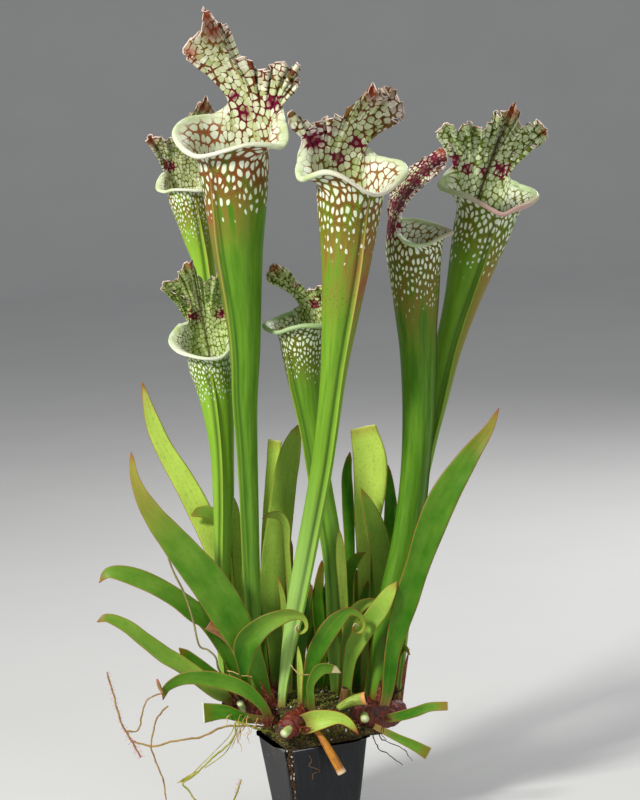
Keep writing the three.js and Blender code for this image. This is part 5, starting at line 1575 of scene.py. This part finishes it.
def build_scales():
    """Dry sheaths round the feet of the pitchers and of the leaves with stout feet."""
    rng = np.random.default_rng(5)
    skin = Skin()
    feet = [p["spine"] for p in PITCHERS.values()]
    leaves = [leaf["spine"] for leaf in LEAVES.values()]
    feet += [spine for spine in leaves if spine[0][3] >= 3 and spine[0][2] < 35]
    for k, foot in enumerate(feet):
        for side in (-1, 1, 0):
            if rng.uniform() < 0.62:
                continue
            spine = scale_spine(foot, side, rng)
            spec = dict(spine=spine, camber=0.5, twist=[side * 35, side * 25], thick=0.7)
            leaf_into(skin, spec, 40 + k, cols=7, step=1.5)
    make_piece("dry_scales", skin, scale_material())


# The pot and what fills it
# FRONT_CORNER is how many points of the square's outline come before the middle of its front corner, and
# CROWDING draws the wall's columns closer to the split there.
POT_AROUND = 176
CORNER_ARC = 6
FRONT_CORNER = 17
CROWDING = 0.0288


def square(side, z, corner):
    """The outline of a round-cornered square, turned as the pot is."""
    points = []
    flat = side / 2 - corner
    for k, (sx, sy) in enumerate([(1, 1), (-1, 1), (-1, -1), (1, -1)]):
        for s in range(CORNER_ARC + 1):
            a = math.radians(90 * k + 90 * s / CORNER_ARC)
            points.append([sx * flat + corner * math.cos(a), sy * flat + corner * math.sin(a), z])
    c, s = math.cos(math.radians(POT_TURN)), math.sin(math.radians(POT_TURN))
    return np.array(points) @ np.array([[c, s, 0], [-s, c, 0], [0, 0, 1]])


def pot_line(inset, z, at):
    """Points round the pot at shares of its girth from the middle of the front corner, and the girth."""
    side = mix(POT_FOOT, POT_TOP, z / POT_H) - 2 * inset
    ring = np.roll(square(side, z, POT_CORNER - min(inset, 4)), -FRONT_CORNER, axis=0)
    ring = np.vstack([ring, ring[:1]])
    far = lengths(ring)
    return np.column_stack([np.interp(np.asarray(at) * far[-1], far, ring[:, c]) for c in range(3)]), far[-1]


def pot_block(skin, low, high, rows, rough, seed):
    """A closed block that fills the pot between two heights, with a rough skin."""
    rings = []
    at = np.arange(POT_AROUND) / POT_AROUND
    for z in np.linspace(low, high, rows):
        points, _ = pot_line(POT_WALL + GAP, z, at)
        out = unit(points * [1, 1, 0])
        rings.append(skin.add(points - out * (rough * (1 + waves(points, 3.5, seed)))[:, None]))
    skin.grid(rings)
    skin.fan(rings[0], [[0, 0, low]])
    skin.fan(rings[-1], [[0, 0, high]])


def split_half(z):
    """Half the width of the split corner at height z, as the CAD cuts it."""
    return SPLIT_TOP / 2 * max(0.0, (z - POT_H + SPLIT_DEEP) / (SPLIT_DEEP + 1))


def pot_wall(skin, inset, z):
    """One open row of the pot's wall, its two ends at the split."""
    _, girth = pot_line(inset, z, [0])
    gap = max(split_half(z), 0.02) / girth
    even = np.linspace(0, 1, POT_AROUND + 1)
    at = gap + (1 - 2 * gap) * (even - CROWDING * np.sin(2 * math.pi * even))
    points, _ = pot_line(inset, z, at)
    out = unit(points * [1, 1, 0])
    curl = 1.5 * np.exp(-np.minimum(at, 1 - at) * girth / 7) * max(0.0, (z - 40) / 55) ** 2
    wave = 0.35 * np.sin(at * girth / 17 + 1) * smooth((z - 60) / 35)
    dusty = np.where(at > 0.5, smooth((at - 0.72) / 0.02), 0) + 0.3 * (1 - smooth(np.abs(at - 0.5) / 0.26))
    across = np.column_stack([at * girth, np.full(len(at), z), np.zeros(len(at))])
    return skin.add(points + out * (curl + wave)[:, None], across=across, dusty=dusty, rim=POT_H - z)


def close_split(skin, rows):
    """Shows the wall's own thickness along both edges of the split, and shuts its foot."""
    for end in (0, -1):
        edge = np.array([row[end] for row in rows])
        half = len(edge) // 2
        skin.band(edge[:half], edge[::-1][:half], closed=False)
        if len(edge) % 2:
            skin.faces.append(edge[None, half - 1 : half + 2])
    skin.faces.append(np.array([[rows[0][0], rows[0][-1], rows[-1][-1], rows[-1][0]]]))


def build_pot():
    """The pot's wall up its outside, over its round rim and down its inside, with two floors."""
    skin = Skin()
    half = POT_WALL / 2
    top, split = POT_H - half, POT_H - SPLIT_DEEP
    heights = np.r_[np.linspace(0, split, 8), np.linspace(split, top, 40)[1:]]
    rows = [pot_wall(skin, 0, z) for z in heights]
    for a in (45, 90, 135):
        t = math.radians(a)
        rows.append(pot_wall(skin, half * (1 - math.cos(t)), top + half * math.sin(t)))
    rows += [pot_wall(skin, POT_WALL, z) for z in heights[::-1] if z > POT_FLOOR]
    skin.grid(rows, closed=False)
    close_split(skin, rows)
    skin.fan(rows[0], [[0, 0, 0]], dusty=1.0)
    skin.fan(rows[-1], [[0, 0, POT_FLOOR]], dusty=1.0)
    make_piece("pot_fine", skin, pot_material(), ["pot"])


MOSS_MIDDLE = np.array([4, 1, POT_H - 6])
MOSS_WIDE = 64
MOSS_DEEP = 50
MOSS_HIGH = 46
MOSS_AROUND = 150
MOSS_LEVELS = 56
MOSS_FOOT = POT_H - 10
TUFTS = 2600
CRUMBS = 700
SPLIT_CRUMBS = 160


def moss_rings():
    """The lumpy dome of moss, in rings from just below its widest to its top."""
    rings = []
    for i in np.linspace(0, 5, MOSS_LEVELS):
        a = math.radians(mix(-25, 88, i / 5))
        t = np.arange(MOSS_AROUND) / MOSS_AROUND * 2 * math.pi
        lump = 1 + 0.05 * np.sin(3 * t + 1 + i) + 0.04 * np.sin(5 * t + 2 * i)
        c = abs(math.cos(a)) ** 0.6 * lump
        rise = np.full(MOSS_AROUND, MOSS_HIGH * math.sin(a))
        round_it = [MOSS_WIDE * c * np.cos(t), MOSS_DEEP * c * np.sin(t), rise]
        rings.append(MOSS_MIDDLE + np.column_stack(round_it))
    return np.array(rings)


def within_rim(points):
    """Draws the front of the moss in behind the pot's rim."""
    turn = math.radians(POT_TURN)
    along = points[:, 0] * math.cos(turn) + points[:, 1] * math.sin(turn)
    across = points[:, 1] * math.cos(turn) - points[:, 0] * math.sin(turn)
    reach = (np.abs(along) ** 8 + np.abs(across) ** 8) ** 0.125
    room = POT_TOP / 2 - POT_WALL - 0.8 - 0.3 * (points[:, 2] - POT_H)
    left = smooth((-along - 8) / 12) * smooth((58 - across) / 12)
    right = smooth((-across - 8) / 12) * smooth((62 - along) / 12)
    low = smooth((POT_H + 34 - points[:, 2]) / 10)
    share = mix(1, np.minimum(1, room / np.maximum(reach, 1)), np.maximum(left, right) * low)
    return points * np.column_stack([share, share, np.ones(len(points))])


def build_ground():
    """The mound of moss with the mix just under it, the mix that fills the pot, and what lies on both."""
    moss = earth_material("moss_mound", (24, 20, 8), (76, 62, 24), (94, 92, 34), 60.0)
    mixed = earth_material("potting_mix", (30, 20, 14), (84, 56, 34), (140, 104, 66), 160.0)
    rings = moss_rings()
    flat = rings.reshape(-1, 3)
    out = unit(flat - MOSS_MIDDLE + [0, 0, 20])
    flat = within_rim(flat + out * (waves(flat, 7.0, 3) * 2.2)[:, None])
    flat[:, 2] = np.maximum(flat[:, 2], POT_H + GAP)
    rings = flat.reshape(rings.shape)
    skin = Skin()
    ids = [skin.add(ring) for ring in rings]
    skin.grid(ids)
    skin.fan(ids[-1], rings[-1].mean(0))
    skin.fan(ids[0], rings[0].mean(0))
    pot_block(skin, MOSS_FOOT + GAP, POT_H + GAP, rows=8, rough=0.3, seed=5)
    make_piece("moss_fine", skin, moss, ["moss"])
    block = Skin()
    pot_block(block, POT_FLOOR + GAP, MOSS_FOOT, rows=70, rough=0.5, seed=8)
    make_piece("potting_mix_fine", block, mixed, ["potting_mix"])
    scatter_moss(flat, out)


def scatter_moss(ground, out):
    """Moss shoots and crumbs of mix over the mound, and more crumbs in the pot's split."""
    rng = np.random.default_rng(7)
    tufts, crumbs = Skin(), Skin()
    open_air = np.flatnonzero(ground[:, 2] > POT_H + 1)
    mossy = open_air[waves(ground[open_air], 9.0, 21, 2) > -0.22]
    for i in rng.choice(mossy, TUFTS):
        foot = ground[i] + rng.normal(size=3) * 0.5
        own, tall = rng.uniform(), rng.uniform(1.6, 4.4)
        for _ in range(5):
            way = unit(out[i] + [0, 0, 0.5] + rng.normal(size=3) * 0.45)
            spike(tufts, foot - way * 0.6, way, tall * rng.uniform(0.6, 1), 0.42, own=own, high=1.0)
    for i in rng.choice(open_air, CRUMBS):
        crumb(crumbs, ground[i] + out[i] * 0.4, rng.uniform(0.5, 1.8), rng)
    corner = math.radians(POT_TURN - 135)
    side = np.array([-math.sin(corner), math.cos(corner), 0])
    for _ in range(SPLIT_CRUMBS):
        z = rng.uniform(POT_H - SPLIT_DEEP + 12, POT_H)
        tip, _ = pot_line(POT_WALL, z, [0])
        shift = side * rng.uniform(-1, 1) * split_half(z) * 0.8
        crumb(crumbs, tip[0] + shift, rng.uniform(0.4, 1.3), rng)
    make_piece("moss_shoots", tufts, tuft_material())
    make_piece("mix_crumbs", crumbs, crumb_material())


CUBE = np.array([[x, y, z] for x in (-1, 1) for y in (-1, 1) for z in (-1, 1)], float)
CUBE_FACES = np.array([[0, 1, 3, 2], [4, 6, 7, 5], [0, 4, 5, 1], [2, 3, 7, 6], [0, 2, 6, 4], [1, 5, 7, 3]])


def crumb(skin, middle, r, rng):
    """A small closed lump of six uneven faces."""
    shape = CUBE * rng.uniform(0.5, 0.8, (8, 1)) * rng.uniform(0.6, 1.2, 3)
    turn, _ = np.linalg.qr(rng.normal(size=(3, 3)))
    ids = skin.add(middle + shape @ turn * r, own=rng.uniform())
    skin.faces.append(ids[CUBE_FACES])


# The scene
# The floor's sizes are in mm. What the lights need is in metres and watts.
FLOOR_HALF = 9000
BEND = 3000
BEND_STEPS = 12
WALL_TOP = 6000
LENS = 99
SENSOR = 36
LIGHTS_AIM = Vector((0, 0, 0.4))
LIGHTS = {
    "key": dict(where=(-1.7, -1.5, 2.1), size=0.5, energy=92, color=(1.0, 0.98, 0.94)),
    "fill": dict(where=(1.9, -1.8, 0.9), size=1.6, energy=12, color=(1, 1, 1)),
    "rim": dict(where=(1.1, 1.5, 1.6), size=0.9, energy=26, color=(1, 1, 1)),
}
SKY = (0.95, 0.97, 1.0, 1)
SKY_STRENGTH = 0.34


def build_stage():
    """A pale floor that bends up into a far wall."""
    foot = FLOOR_HALF - BEND
    profile = [(-FLOOR_HALF, 0), (foot, 0)]
    for s in range(1, BEND_STEPS + 1):
        a = math.radians(90 * s / BEND_STEPS)
        profile.append((foot + BEND * math.sin(a), BEND - BEND * math.cos(a)))
    profile.append((FLOOR_HALF, WALL_TOP))
    skin = Skin()
    skin.grid([skin.add([[-FLOOR_HALF, y, z], [FLOOR_HALF, y, z]]) for y, z in profile], closed=False)
    floor = bpy.data.objects.new("floor", build_mesh("floor", skin))
    bpy.context.scene.collection.objects.link(floor)
    s = Shader("floor_paper")
    colour = s.blend(s.noise(s.place(), 3.0, 4.0), (196, 196, 195), (204, 204, 203))
    floor.data.materials.append(s.finish(colour, 0.9))


def build_lights():
    for name, look in LIGHTS.items():
        data = bpy.data.lights.new(name, "AREA")
        data.shape = "DISK"
        data.size, data.energy, data.color = look["size"], look["energy"], look["color"]
        lamp = bpy.data.objects.new(name, data)
        lamp.location = look["where"]
        lamp.rotation_euler = (LIGHTS_AIM - lamp.location).to_track_quat("-Z", "Y").to_euler()
        bpy.context.scene.collection.objects.link(lamp)
    world = bpy.data.worlds.new("soft_room")
    world.use_nodes = True
    sky = world.node_tree.nodes["Background"]
    sky.inputs["Color"].default_value = SKY
    sky.inputs["Strength"].default_value = SKY_STRENGTH
    bpy.context.scene.world = world
    bpy.context.scene.view_settings.view_transform = "Standard"


def build_camera():
    data = bpy.data.cameras.new("camera")
    data.lens = LENS
    data.sensor_width = SENSOR
    camera = bpy.data.objects.new("camera", data)
    axes = Matrix([[*v] for v in (RIGHT, UP, -AHEAD)]).transposed().to_4x4()
    camera.matrix_world = Matrix.Translation(Vector(EYE * MM)) @ axes
    bpy.context.scene.collection.objects.link(camera)
    bpy.context.scene.camera = camera


build_camera()
build_lights()
build_stage()
build_pitchers()
blade = leaf_material()
build_leaves(blade)
build_inner(blade)
build_stems()
build_weeds()
build_glands()
build_roots("roots_pale", "pale_roots", ROOTS_PALE, 1.0, 0.15, 0, wander=2.5)
build_roots("root_on_pot", "brown_roots", [thread_spine()], 0.8, 0.1, 4)
build_roots("roots_dark", "dark_roots", ROOTS_DARK, 1.0, 0.2, 20, wander=2.0)
build_rhizomes()
build_scales()
build_pot()
build_ground()
